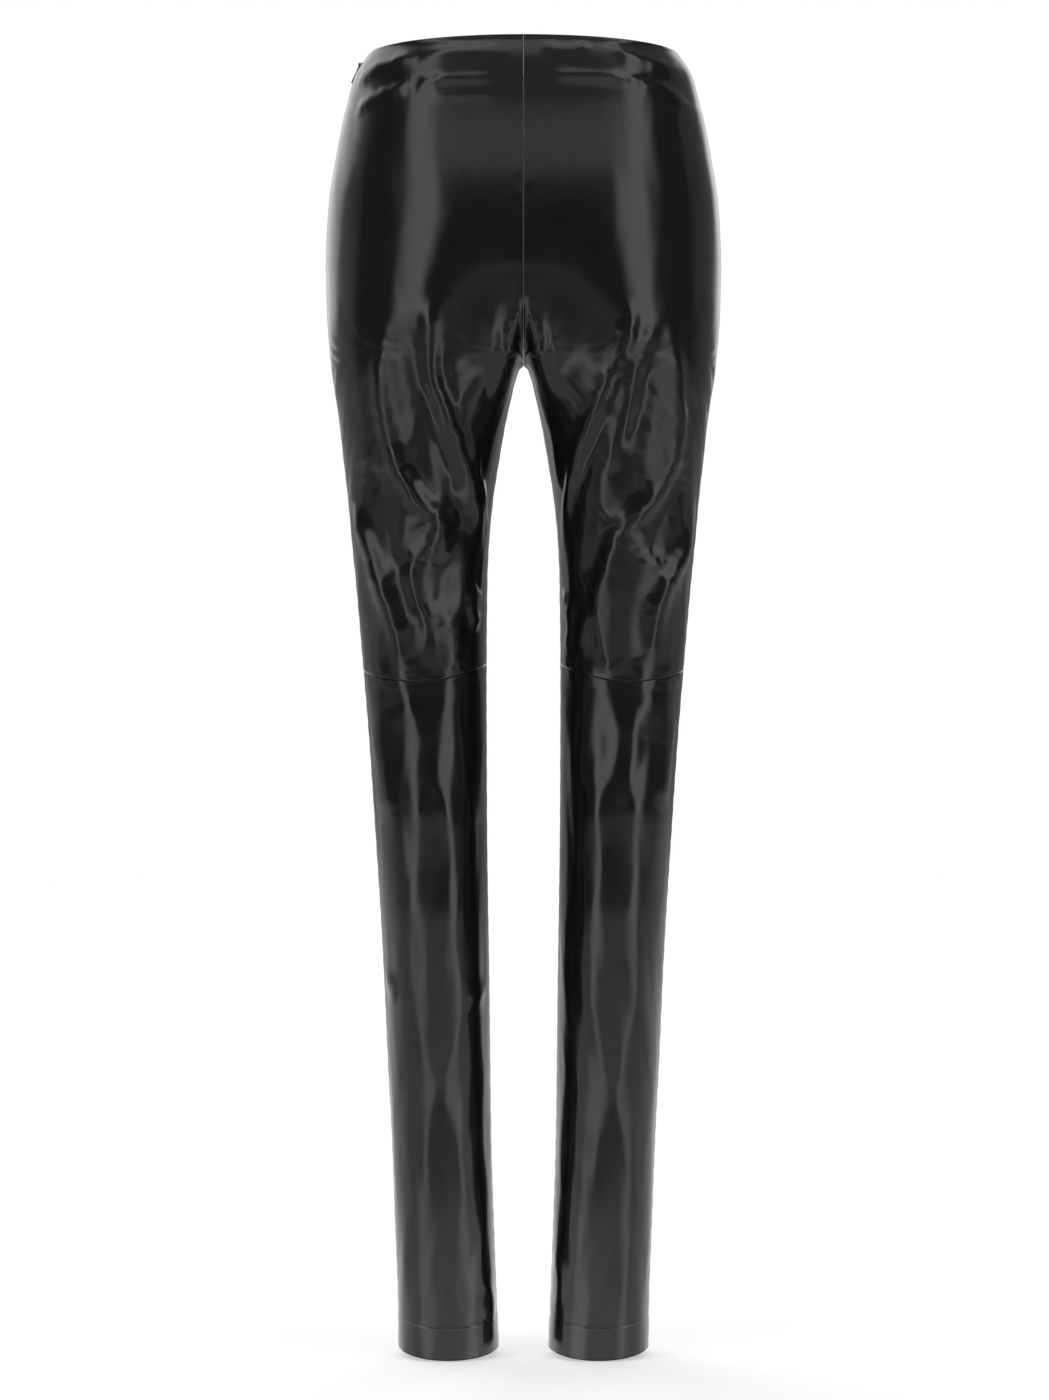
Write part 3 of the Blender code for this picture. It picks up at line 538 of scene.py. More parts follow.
def smooth_path(points, samples):
    """A curve through the points, Catmull-Rom, evenly spread between them."""
    points = np.array(points, float)
    padded = np.vstack([2 * points[0] - points[1], points, 2 * points[-1] - points[-2]])
    at = np.linspace(0, len(points) - 1, samples)
    first = np.minimum(at.astype(int), len(points) - 2)
    t = (at - first)[:, None]
    a, b, c, d = (padded[first + k] for k in range(4))
    bend, twist = 2 * a - 5 * b + 4 * c - d, 3 * b - a - 3 * c + d
    return 0.5 * (2 * b + (c - a) * t + bend * t**2 + twist * t**3)


def sampled_face(start, end):
    around, down = np.meshgrid(np.linspace(start, end, 110), np.linspace(0, OUTSEAM, 420))
    return even_out_seat(resting_surface(around, down)).reshape(-1, 3)


FACES = {"back": sampled_face(0.005, 0.495), "front": sampled_face(0.505, 0.995)}


def fold_heights(folds, side, points):
    """How far the folds of one side (-1 left, 1 right) push each point of the resting surface out."""
    heights = np.zeros(points.shape[:-1])
    for fold in folds:
        if np.sign(fold.path[0][0]) != side:
            continue
        surface = FACES[fold.face]
        path = smooth_path([(abs(x), -down) for x, down in fold.path], FOLD_SAMPLES)
        nearest = ((surface[None, :, (0, 2)] - path[:, None]) ** 2).sum(-1).argmin(1)
        distance, along, outer_side = distance_to_line(points, surface[nearest])
        outer, inner = (fold.left, fold.right) if side < 0 else (fold.right, fold.left)
        width = np.where(outer_side, outer, inner)
        swell = smoothly(np.minimum(along, 1 - along), 0, FOLD_END)
        falling = np.where(width > WIDE_FLANK, HOLLOW_FLANK, ROUND_FLANK)
        heights += fold.height * swell * np.exp(-((distance / width) ** falling))
    return heights * (1 - np.exp(-((points[..., 0] / SEAM_CALM) ** 2)))


def distance_to_line(points, line):
    """The distance of each point to a bent line, how far along the line it is nearest, 0 to 1, and whether it
    lies on the line's outer side, away from the other leg."""
    best = np.full(points.shape[:-1], np.inf)
    along = np.zeros(points.shape[:-1])
    outer_side = np.zeros(points.shape[:-1], bool)
    for k, (start, end) in enumerate(zip(line[:-1], line[1:])):
        run = end - start
        off = points - start
        t = np.clip((off @ run) / max(run @ run, 1e-9), 0, 1)
        distance = np.linalg.norm(off - t[..., None] * run, axis=-1)
        nearer = distance < best
        best = np.where(nearer, distance, best)
        along = np.where(nearer, (k + t) / (len(line) - 1), along)
        outer_side = np.where(nearer, run[0] * off[..., 2] > run[2] * off[..., 0], outer_side)
    return best, along, outer_side


def slow_waves(side, across_mm, down_mm):
    """Unevenness too gentle to be a fold, never the same on the two sides."""
    height = np.zeros_like(across_mm)
    for wave in WAVES:
        bend = 1.4 * np.sin(2 * math.pi * down_mm / wave.down + wave.start * side)
        along = np.sin(2 * math.pi * down_mm / (1.7 * wave.down) + 1.9 * wave.start)
        height += wave.height * np.sin(2 * math.pi * across_mm / wave.across + bend + wave.start) * along
    return height


# ---- panels ------------------------------------------------------------------------------------------------


def rows_between(top, bottom, step):
    """Depths from one line to another, close together beside both."""
    beside = np.array(EDGE_STEPS)[:, None]
    first, last = top + beside, bottom - beside[::-1]
    count = math.ceil((last[0] - first[-1]).max() / step)
    part = np.linspace(0, 1, count + 1)[1:-1, None]
    return np.vstack([first, first[-1] + (last[0] - first[-1]) * part, last])


def rows_to_hem(top, hem, step):
    """Depths down to the hem, close together beside the line where it turns too."""
    turn = hem - HEM_TURN
    return np.vstack([rows_between(top, turn, step), rows_between(turn, hem, ROW_STEP)[1:]])


def columns_between(start, end, count):
    """Places across a panel, close together beside both seams."""
    beside = np.array(EDGE_STEPS) / ROUND_HIP
    middle = np.linspace(start + beside[-1], end - beside[-1], count)
    return np.concatenate([start + beside[:-1], middle, end - beside[-2::-1]])[None]


def lengths_along(points, axis):
    """Length along the grid from its first row or column to each point."""
    steps = np.linalg.norm(np.diff(points, axis=axis), axis=-1)
    return np.concatenate([np.zeros_like(np.take(steps, [0], axis)), np.cumsum(steps, axis)], axis)


def rolled(distance, radius):
    """How far in a rounded edge lies at this distance from it."""
    past = np.clip(radius - distance, 0, radius)
    return radius - np.sqrt(radius**2 - past**2)


def half_gap(side, across, down):
    """Half the gap at the seam at this place across. It opens round the zip slider's neck."""
    if across != 0.5:
        return np.where(down >= RISE, SEAM_MEETING, 0.0)
    eye = SEAM_EYE * np.exp(-(((down - SLIDER_DOWN) / SEAM_EYE_LENGTH) ** 2)) if side < 0 else 0
    return SEAM_MEETING + eye + 0 * down


def cloth_thickness(across, down, to_seam):
    """Thickness of the cloth with what is turned in or pressed open behind it."""
    behind_seam = ALLOWANCE_THICK * (1 - smoothly(to_seam, ALLOWANCE - 0.8, ALLOWANCE + 0.8))
    turned = np.maximum(
        1 - smoothly(down, FACING_DEPTH - 0.7, FACING_DEPTH + 0.7),
        smoothly(down, hem_line(across) - HEM_TURN - 0.7, hem_line(across) - HEM_TURN + 0.7),
    )
    return CLOTH + np.maximum(behind_seam, (TURNED_EDGE - CLOTH) * turned)


Edges = namedtuple("Edges", "start end top bottom side seam top_turned hem_turned")


def distances_to_edges(points, top_turned, hem_turned):
    """How far each point of a panel lies from its four edges, from its side seams and from any seam. The top
    and the hem are turned edges or seams."""
    start, top = lengths_along(points, 1), lengths_along(points, 0)
    end, bottom = start[:, -1:] - start, top[-1:] - top
    side = np.minimum(start, end)
    seam = side if top_turned else np.minimum(side, top)
    seam = seam if hem_turned else np.minimum(seam, bottom)
    return Edges(start, end, top, bottom, side, seam, top_turned, hem_turned)


def puckers(pucker, from_seam, along, start):
    """Small waves beside a seam, where its stitches pull the cloth in."""
    waves = np.sin(along / pucker.length + pucker.drift * np.sin(along / pucker.drift_length + start))
    return np.exp(-(((from_seam - PUCKER_MIDDLE) / pucker.reach) ** 2)) * waves


def cloth_heights(side, across, down, surface, normal, edges):
    """How far out of the resting surface the panel's outer face lies."""
    look = bpy.context.scene.leggings_cloth
    faces_us = OUTLINE_FOLDS + (1 - OUTLINE_FOLDS) * smoothly(np.abs(normal[..., 1]), *OUTLINE)
    heights = look.fold_strength * faces_us * fold_heights(FOLDS, side, surface)
    heights += look.crease_strength * fold_heights(WAIST_CREASES, side, surface)

    below_seat = smoothly(down, *BELOW_SEAT)
    calm = smoothly(edges.seam, 0, CALM_AT_SEAM) * (EVEN_ON_SEAT + (1 - EVEN_ON_SEAT) * below_seat)
    round_mm = edges.start + FRONT_WAVES * (across[0, 0] == 0.5)
    heights += look.unevenness * calm * slow_waves(side, round_mm, edges.top)

    beside = puckers(SIDE_PUCKER, edges.side, down, side)
    heights += look.pucker * beside * (PUCKER_ON_SEAT + (1 - PUCKER_ON_SEAT) * below_seat)
    knee_pucker = KNEE_PUCKER_SHARE * look.pucker
    if not edges.top_turned:
        heights += knee_pucker * puckers(BELOW_KNEE_PUCKER, edges.top, edges.start, side)
    if not edges.hem_turned:
        heights += knee_pucker * puckers(ABOVE_KNEE_PUCKER, edges.bottom, edges.start, -side)

    heights += SEAM_LIFT * (1 - smoothly(edges.seam, ALLOWANCE - SEAM_LIFT_SOFT, ALLOWANCE + SEAM_LIFT_SOFT))
    at_turn = down - (hem_line(across) - HEM_TURN)
    heights += HEM_STEP * smoothly(at_turn, -0.4, 2.2) - HEM_DENT * np.exp(-((at_turn / 0.9) ** 2))
    facing_edge = np.exp(-(((down - FACING_DEPTH) / FACING_STEP) ** 2))
    heights -= FACING_DENT * facing_edge * (1 - np.exp(-((edges.start / FACING_CALM) ** 2)))
    heights -= WAIST_PINCH * np.exp(-((down / WAIST_PINCH_DEPTH) ** 2))
    return heights


def edge_rolls(edges):
    """How far in the outer face and the inner face turn beside the panel's edges."""
    turned = TURNED_EDGE / 2 - EDGE_EASE
    outer = np.maximum(rolled(edges.start, SEAM_ROLL), rolled(edges.end, SEAM_ROLL))
    outer = np.maximum(outer, rolled(edges.top, turned if edges.top_turned else SEAM_ROLL))
    outer = np.maximum(outer, rolled(edges.bottom, turned if edges.hem_turned else SEAM_ROLL))
    at_top = rolled(edges.top, turned) if edges.top_turned else 0
    at_hem = rolled(edges.bottom, turned) if edges.hem_turned else 0
    return outer, np.maximum(at_top, at_hem)


def sew_panel(name, side, across, down, top_turned, hem_turned):
    """One cut piece as a closed thin shell, in place. Its top and its hem are turned edges or seams."""
    across, down = np.broadcast_arrays(across, down)
    surface = even_out_seat(resting_surface(across, down))
    normal, tangent = normal_out(across, down), tangent_across(across, down)
    edges = distances_to_edges(surface, top_turned, hem_turned)
    heights = cloth_heights(side, across, down, surface, normal, edges)
    roll, inner_roll = edge_rolls(edges)
    depth = np.maximum(cloth_thickness(across, down, edges.seam) - inner_roll, roll + LEAST_WALL)
    outer = surface + (heights - roll)[..., None] * normal
    inner = surface + (heights - depth)[..., None] * normal
    for points in (outer, inner):
        for at_edge, from_edge, way in ((across[0, 0], edges.start, 1), (across[0, -1], edges.end, -1)):
            gap = half_gap(side, at_edge, down[:, :1]) * np.exp(-((from_edge / SEAM_GAP_REACH) ** 2))
            points += way * gap[..., None] * tangent
        points[..., 0] = side * np.maximum(points[..., 0], SEAM_MEETING)
    turned = (down < FACING_DEPTH) | (down > hem_line(across) - HEM_TURN)
    return shell(name, side, outer, inner, edges.start, edges.top, turned, (leather(), backing()))


def shell(name, side, outer, inner, round_mm, down_mm, turned, looks):
    """A closed wall between two grids of points: the first material is outside and where the cloth is turned
    in, the second inside."""
    rows, columns = outer.shape[:2]
    at = np.arange(rows * columns).reshape(rows, columns)
    cells = np.stack([at[:-1, :-1], at[:-1, 1:], at[1:, 1:], at[1:, :-1]], axis=-1).reshape(-1, 4)
    backs = cells[:, ::-1] + at.size
    rim = np.concatenate([at[0, :], at[1:, -1], at[-1, -2::-1], at[-2:0:-1, 0]])
    after = np.roll(rim, -1)
    walls = np.stack([after, rim, rim + at.size, after + at.size], axis=-1)
    faces = np.concatenate([cells, backs, walls])
    if side < 0:
        faces = faces[:, ::-1]
    points = np.concatenate([outer.reshape(-1, 3), inner.reshape(-1, 3)]) * MM
    mesh = bpy.data.meshes.new(name)
    mesh.from_pydata(points.tolist(), [], faces.tolist())
    for look in looks:
        mesh.materials.append(look)
    is_turned = turned[:-1, :-1].reshape(-1)
    slots = np.concatenate([np.zeros(len(cells)), np.where(is_turned, 0, 1), np.zeros(len(walls))])
    mesh.polygons.foreach_set("material_index", slots.astype(np.int32))
    flat = np.stack([round_mm, -down_mm], axis=-1).reshape(-1, 2) * MM
    flat = np.concatenate([flat, flat])
    corners = np.zeros(len(mesh.loops), np.int32)
    mesh.loops.foreach_get("vertex_index", corners)
    mesh.uv_layers.new(name="cut").data.foreach_set("uv", flat[corners].reshape(-1).astype(np.float32))
    mesh.shade_smooth()
    mesh.set_sharp_from_angle(angle=math.radians(70))
    made = bpy.data.objects.new(name, mesh)
    bpy.context.scene.collection.objects.link(made)
    return made


def declare_cloth(piece, node):
    """The shell stands for its solid, which is hidden, and moves with the garment."""
    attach(piece, "garment")
    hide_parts(node)


# ---- materials ---------------------------------------------------------------------------------------------


def fill_in(tree, node, inputs):
    """Set a node's inputs to values, or link them from sockets."""
    for name, value in inputs.items():
        if isinstance(value, NodeSocket):
            tree.links.new(value, node.inputs[name])
        else:
            node.inputs[name].default_value = value


def wire(tree, kind, inputs=None, **settings):
    """A new node with its settings and inputs."""
    made = tree.nodes.new(kind)
    for name, value in settings.items():
        setattr(made, name, value)
    fill_in(tree, made, inputs or {})
    return made


def maths_node(tree, operation, *values):
    return wire(tree, "ShaderNodeMath", dict(enumerate(values)), operation=operation).outputs[0]


def noise(tree, place, scale, detail, roughness=0.5):
    inputs = {"Vector": place, "Scale": scale, "Detail": detail, "Roughness": roughness}
    return wire(tree, "ShaderNodeTexNoise", inputs).outputs[0]


def spread(tree, value, low, high, at_low, at_high):
    """The value carried over from one range to another."""
    return wire(tree, "ShaderNodeMapRange", {0: value, 1: low, 2: high, 3: at_low, 4: at_high}).outputs[0]


def bump(tree, height, distance):
    return wire(tree, "ShaderNodeBump", {"Height": height, "Distance": distance, "Strength": 1.0}).outputs[0]


def group(name, inputs, outputs):
    """A new node group's tree with its input and output nodes."""
    tree = bpy.data.node_groups.new(name, "ShaderNodeTree")
    for in_out, sockets in (("INPUT", inputs), ("OUTPUT", outputs)):
        for socket, (kind, value) in sockets.items():
            made = tree.interface.new_socket(socket, in_out=in_out, socket_type=kind)
            if value is not None:
                made.default_value = value
    return tree, tree.nodes.new("NodeGroupInput").outputs, tree.nodes.new("NodeGroupOutput").inputs


def grain_group():
    """Fine pebble grain, drawn out lengthwise, and a slow patchiness."""
    found = bpy.data.node_groups.get("lengthwise_grain")
    if found:
        return found
    tree, given, out = group(
        "lengthwise_grain",
        {
            "Cut": ("NodeSocketVector", None),
            "Grain": ("NodeSocketFloat", 0.0005),
            "Streak": ("NodeSocketFloat", 0.0012),
        },
        {"Height": ("NodeSocketFloat", None), "Patch": ("NodeSocketFloat", None)},
    )

    def drawn_out(size, stretch):
        over = maths_node(tree, "DIVIDE", 1.0, size)
        apart = wire(tree, "ShaderNodeSeparateXYZ", {0: given["Cut"]}).outputs
        x, y = (maths_node(tree, "MULTIPLY", apart[k], over) for k in (0, 1))
        y = maths_node(tree, "MULTIPLY", y, stretch)
        place = wire(tree, "ShaderNodeCombineXYZ", {0: x, 1: y, 2: 0.0}).outputs[0]
        return noise(tree, place, 1.0, 2.0, 0.55)

    pebbles, streaks = drawn_out(given["Grain"], 0.7), drawn_out(given["Streak"], 0.07)
    tree.links.new(maths_node(tree, "ADD", pebbles, streaks), out["Height"])
    tree.links.new(noise(tree, given["Cut"], 21.0, 3.0, 0.6), out["Patch"])
    return tree


def weave_group():
    """Over and under threads for knitted backing and woven tape."""
    found = bpy.data.node_groups.get("threads")
    if found:
        return found
    tree, given, out = group(
        "threads",
        {"Cut": ("NodeSocketVector", None), "Thread": ("NodeSocketFloat", 0.0006)},
        {"Height": ("NodeSocketFloat", None), "Shade": ("NodeSocketFloat", None)},
    )
    apart = wire(tree, "ShaderNodeSeparateXYZ", {0: given["Cut"]}).outputs
    turns = maths_node(tree, "DIVIDE", math.pi, given["Thread"])
    waves = [maths_node(tree, "SINE", maths_node(tree, "MULTIPLY", apart[k], turns)) for k in (0, 1)]
    height = spread(tree, maths_node(tree, "MULTIPLY", *waves), -1.0, 1.0, 0.0, 1.0)
    tree.links.new(height, out["Height"])
    tree.links.new(noise(tree, given["Cut"], 260.0, 2.0), out["Shade"])
    return tree


def new_material(name):
    made = bpy.data.materials.new(name)
    made.use_nodes = True
    return made, made.node_tree, made.node_tree.nodes["Principled BSDF"]


def blend(tree, share, first, second):
    """A colour between two, by a mask."""
    mixed = wire(tree, "ShaderNodeMix", {0: share, 6: (*first, 1), 7: (*second, 1)}, data_type="RGBA")
    return mixed.outputs[2]


def leather():
    """Glossy black coated cloth: a thin smooth film with a very fine lengthwise grain."""
    found = bpy.data.materials.get("glossy_leather_look")
    if found:
        return found
    look = bpy.context.scene.leggings_cloth
    made, tree, shader = new_material("glossy_leather_look")
    cut = wire(tree, "ShaderNodeUVMap", uv_map="cut").outputs[0]
    sizes = {"Cut": cut, "Grain": 0.00055, "Streak": 0.0013}
    grain = wire(tree, "ShaderNodeGroup", sizes, node_tree=grain_group())
    height, patch = grain.outputs["Height"], grain.outputs["Patch"]
    rough = spread(tree, patch, 0.25, 0.75, look.roughness - 0.03, look.roughness + 0.04)
    film = {"Base Color": blend(tree, patch, look.colour, look.worn_colour), "Roughness": rough}
    film |= {"Normal": bump(tree, height, look.grain_height), "IOR": 1.5}
    fill_in(tree, shader, film | {"Coat Weight": 0.25, "Coat Roughness": 0.1})
    return made


def threaded(name, thread, shaded_by, colours, height, roughness):
    """Cloth that shows its threads, coloured by the threads' height, darker where they dip as painted
    shade in the weave's hollows, or coloured by a patchiness.
    """
    found = bpy.data.materials.get(name)
    if found:
        return found
    made, tree, shader = new_material(name)
    cut = wire(tree, "ShaderNodeUVMap", uv_map="cut").outputs[0]
    threads = wire(tree, "ShaderNodeGroup", {"Cut": cut, "Thread": thread}, node_tree=weave_group()).outputs
    # shaded by "Height", the colour darkens where the threads dip: painted shade in the weave's hollows
    colour, normal = blend(tree, threads[shaded_by], *colours), bump(tree, threads["Height"], height)
    fill_in(tree, shader, {"Base Color": colour, "Normal": normal, "Roughness": roughness})
    return made


def backing():
    """The matte knitted side of the cloth."""
    colours = ((0.010, 0.010, 0.011), (0.030, 0.030, 0.032))
    return threaded("knitted_backing", 0.0007, "Shade", colours, 0.00012, 0.85)


def tape_cloth():
    """Black woven zip tape, its colour darker where the threads dip: painted shade in the weave's hollows."""
    # darker in the weave's hollows, paler on the raised threads: painted shade between the threads
    colours = ((0.007, 0.007, 0.008), (0.022, 0.022, 0.023))
    return threaded("woven_zip_tape", 0.00045, "Height", colours, 0.0001, 0.7)


def coil_plastic():
    found = bpy.data.materials.get("nylon_coil")
    if found:
        return found
    made, tree, shader = new_material("nylon_coil")
    patches = noise(tree, wire(tree, "ShaderNodeTexCoord").outputs["Object"], 900.0, 2.0)
    rough = spread(tree, patches, 0.3, 0.7, 0.32, 0.5)
    fill_in(tree, shader, {"Roughness": rough, "Base Color": (0.012, 0.012, 0.013, 1)})
    return made


def dark_metal():
    """Dark gunmetal plating with fine rubbed marks, brighter where hands rub it."""
    found = bpy.data.materials.get("dark_plated_metal")
    if found:
        return found
    look = bpy.context.scene.leggings_zip
    made, tree, shader = new_material("dark_plated_metal")
    place = wire(tree, "ShaderNodeTexCoord").outputs["Object"]
    marks, patches = noise(tree, place, 1400.0, 4.0, 0.6), noise(tree, place, 240.0, 2.0)
    plating = {"Base Color": blend(tree, patches, look.metal, look.rubbed_metal), "Metallic": 1.0}
    plating |= {"Roughness": spread(tree, marks, 0.3, 0.7, 0.22, 0.4), "Normal": bump(tree, marks, 0.000008)}
    fill_in(tree, shader, plating)
    return made


# ---- zip ---------------------------------------------------------------------------------------------------


def under_seam(down, away, depth):
    """Points under the cloth at the left side seam. away is the distance from the seam along the cloth,
    negative towards the back, and depth is measured in from the outer face."""
    down, away, depth = np.broadcast_arrays(down, away, depth)
    ahead, behind = (resting_surface(0.5 + step, down) for step in (A_LITTLE_ACROSS, -A_LITTLE_ACROSS))
    across = 0.5 + away * 2 * A_LITTLE_ACROSS / np.linalg.norm(ahead - behind, axis=-1)
    point = resting_surface(across, down) - depth[..., None] * normal_out(across, down)
    return point * (-1, 1, 1)


def slider_frame():
    """Axes on the outer face at the slider: out of the cloth, forward, and down along the seam."""
    top, end = (resting_surface(0.5, SLIDER_DOWN + further) * (-1, 1, 1) for further in (0, PULL_LENGTH))
    along = Vector(end - top).normalized()
    forward = Vector((0, 1, 0))
    out = forward.cross(along)
    axes = Matrix((out, forward, along)).transposed().to_4x4()
    axes.translation = Vector(top) * MM
    return axes


def mesh_object(name, mesh, look, smooth_angle=35):
    """A finished object from a bmesh in millimetres."""
    bmesh.ops.scale(mesh, vec=Vector((MM, MM, MM)), verts=mesh.verts)
    bmesh.ops.recalc_face_normals(mesh, faces=mesh.faces)
    data = bpy.data.meshes.new(name)
    mesh.to_mesh(data)
    mesh.free()
    data.shade_smooth()
    data.set_sharp_from_angle(angle=math.radians(smooth_angle))
    data.materials.append(look)
    made = bpy.data.objects.new(name, data)
    bpy.context.scene.collection.objects.link(made)
    return made


def add_rounded_plate(mesh, outline, thickness, bevel, centre=(0, 0, 0), holes=()):
    """A plate across the x axis with a rounded rim, its outline as (y, z) pairs going round once."""
    half = thickness / 2
    outline = [Vector((0, y, z)) for y, z in outline]
    middle = sum(outline, Vector()) / len(outline)
    rings = [(-half, bevel), (-half + bevel * 0.3, bevel * 0.3), (-half + bevel, 0)]
    rings += [(-x, inset) for x, inset in reversed(rings)]
    loops = []
    for x, inset in rings:
        loop = []
        for k, point in enumerate(outline):
            run = outline[(k + 1) % len(outline)] - outline[k - 1]
            inward = Vector((0, -run.z, run.y)).normalized()
            if inward.dot(middle - point) < 0:
                inward = -inward
            place = point + inward * inset
            loop.append(mesh.verts.new((x + centre[0], place.y + centre[1], place.z + centre[2])))
        loops.append(loop)
    for below, above in zip(loops[:-1], loops[1:]):
        for k in range(len(outline)):
            mesh.faces.new((below[k - 1], below[k], above[k], above[k - 1]))
    hole_loops = []
    for hole in holes:
        hole_middle = sum((Vector((0, y, z)) for y, z in hole), Vector()) / len(hole)
        rims = []
        for x, inset in rings:
            loop = []
            for y, z in hole:
                point = Vector((0, y, z))
                out = (point - hole_middle).normalized() * inset * 0.5
                loop.append(mesh.verts.new((x + centre[0], y + out.y + centre[1], z + out.z + centre[2])))
            rims.append(loop)
        for below, above in zip(rims[:-1], rims[1:]):
            for k in range(len(hole)):
                mesh.faces.new((below[k], below[k - 1], above[k - 1], above[k]))
        hole_loops.append(rims)
    for end in (0, -1):
        if not hole_loops:
            mesh.faces.new(loops[end])
            continue
        edges = []
        for rim in (loops[end], *(rims[end] for rims in hole_loops)):
            edges += [mesh.edges.get((rim[k - 1], rim[k])) for k in range(len(rim))]
        bmesh.ops.triangle_fill(mesh, edges=edges, use_beauty=True)


def arc(centre, radius, start, end, steps):
    turns = [math.radians(start + (end - start) * k / steps) for k in range(steps + 1)]
    return [(centre[0] + radius * math.cos(turn), centre[1] + radius * math.sin(turn)) for turn in turns]


def rounded_box_outline(width, length, corner, corner_steps=5):
    """(y, z) pairs round a rectangle with round corners."""
    points = []
    for y, z, start in ((1, 1, 0), (-1, 1, 90), (-1, -1, 180), (1, -1, 270)):
        centre = (y * (width / 2 - corner), z * (length / 2 - corner))
        points += arc(centre, corner, start, start + 90, corner_steps)
    return points


def add_tube(mesh, path, radius, sides=8, closed=False):
    """A round tube along a path of points."""
    path = [Vector(point) for point in path]
    loops = []
    previous = None
    for k, point in enumerate(path):
        before = path[k - 1] if (k > 0 or closed) else point
        after = path[(k + 1) % len(path)] if (k < len(path) - 1 or closed) else point
        run = (after - before).normalized()
        side = previous if previous is not None else run.orthogonal()
        side = (side - run * side.dot(run)).normalized()
        previous = side
        other = run.cross(side)
        loops.append(
            [
                mesh.verts.new(point + radius * (math.cos(turn) * side + math.sin(turn) * other))
                for turn in (2 * math.pi * m / sides for m in range(sides))
            ]
        )
    pairs = list(zip(loops[:-1], loops[1:])) + ([(loops[-1], loops[0])] if closed else [])
    for first, second in pairs:
        for m in range(sides):
            mesh.faces.new((first[m - 1], first[m], second[m], second[m - 1]))
    if not closed:
        mesh.faces.new(loops[0])
        mesh.faces.new(loops[-1])


# ---- operators ---------------------------------------------------------------------------------------------


def colour_of(name, description, default):
    return FloatVectorProperty(
        name=name, description=description, subtype="COLOR", min=0, max=1, default=default
    )


def strength_of(name, description, default):
    return FloatProperty(name=name, description=description, min=0, default=default)


class ClothLook(PropertyGroup):
    colour: colour_of("Colour", "Colour of the film in its darker patches", (0.0042, 0.0047, 0.0052))
    worn_colour: colour_of("Paler colour", "Colour of its paler patches", (0.0075, 0.0082, 0.0086))
    roughness: FloatProperty(
        name="Roughness",
        description="How blurred the film's reflections are",
        min=0.02,
        max=1,
        subtype="FACTOR",
        default=0.17,
    )
    grain_height: FloatProperty(
        name="Grain height",
        description="Height of the fine grain",
        min=0,
        soft_max=0.0001,
        precision=6,
        unit="LENGTH",
        default=0.000012,
    )
    fold_strength: FloatProperty(
        name="Folds",
        description="Share of the folds' full height",
        min=0,
        max=1.2,
        subtype="FACTOR",
        default=1.0,
    )
    crease_strength: FloatProperty(
        name="Waist creases",
        description="Share of the full height of the creases over the turned-in waist edge",
        min=0,
        max=2,
        subtype="FACTOR",
        default=1.0,
    )
    unevenness: FloatProperty(
        name="Unevenness", description="How uneven the stretched cloth is", min=0, max=3, default=1.0
    )
    pucker: FloatProperty(
        name="Seam puckers",
        description="Height of the puckers beside a seam, in millimetres",
        min=0,
        max=1,
        default=0.13,
    )


class ZipLook(PropertyGroup):
    metal: colour_of("Metal", "Colour of the plated metal", (0.055, 0.056, 0.06))
    rubbed_metal: colour_of("Rubbed metal", "Colour where the plating is rubbed", (0.12, 0.12, 0.125))


class StudioLook(PropertyGroup):
    backdrop: strength_of("Backdrop", "Brightness of the surroundings behind and beside the leggings", 1.25)
    strips: strength_of("Strip lights", "Brightness of the two upright strip lights", 1.45)
    overhead: strength_of("Overhead", "Brightness of the wide light above the camera", 0.64)
    ceiling: strength_of("Ceiling", "Brightness of the ceiling", 0.85)
    ground: strength_of("Ground", "Brightness of the ground in front of the leggings", 0.5)
    glow: strength_of("Floor glow", "How much the floor close by lightens what mirrors it", 2.0)
    shade: strength_of("Shade", "Brightness of the dark part of the studio round the camera", 0.07)
    horizon: strength_of("Horizon", "Brightness that a low band round the studio adds to its shade", 0.06)


class LEGGINGS_OT_back_panels(Operator):
    """Sew the back panels: one from the waist to each knee seam, and one from there to each hem"""

    bl_idname = "leggings.back_panels"
    bl_label = "Back panels"

    def execute(self, context):
        for side, name in HALVES:
            across = columns_between(0.0, 0.5, COLUMNS_UPPER)
            knee = knee_line(across)
            down = rows_between(-BACK_RISE * np.cos(math.pi * across) ** 2, knee, ROW_STEP)
            upper = sew_panel(f"back_{name}_upper_cloth", side, across, down, *TOP_TURNED)
            declare_cloth(upper, f"back_{name}_upper")

            across = columns_between(0.0, 0.5, COLUMNS_LOWER)
            knee, hem = knee_line(across), hem_line(across)
            down = rows_to_hem(knee, hem, ROW_STEP)
            lower = sew_panel(f"back_{name}_lower_cloth", side, across, down, *HEM_TURNED)
            declare_cloth(lower, f"back_{name}_lower")
        return {"FINISHED"}


class LEGGINGS_OT_front_panels(Operator):
    """Sew the two front panels, each in one piece from the waist to the hem"""

    bl_idname = "leggings.front_panels"
    bl_label = "Front panels"

    def execute(self, context):
        for side, name in HALVES:
            across = columns_between(0.5, 1.0, COLUMNS_FRONT)
            down = rows_to_hem(0 * across, hem_line(across), FRONT_ROW_STEP)
            front = sew_panel(f"front_{name}_cloth", side, across, down, *BOTH_TURNED)
            declare_cloth(front, f"front_{name}")
        return {"FINISHED"}


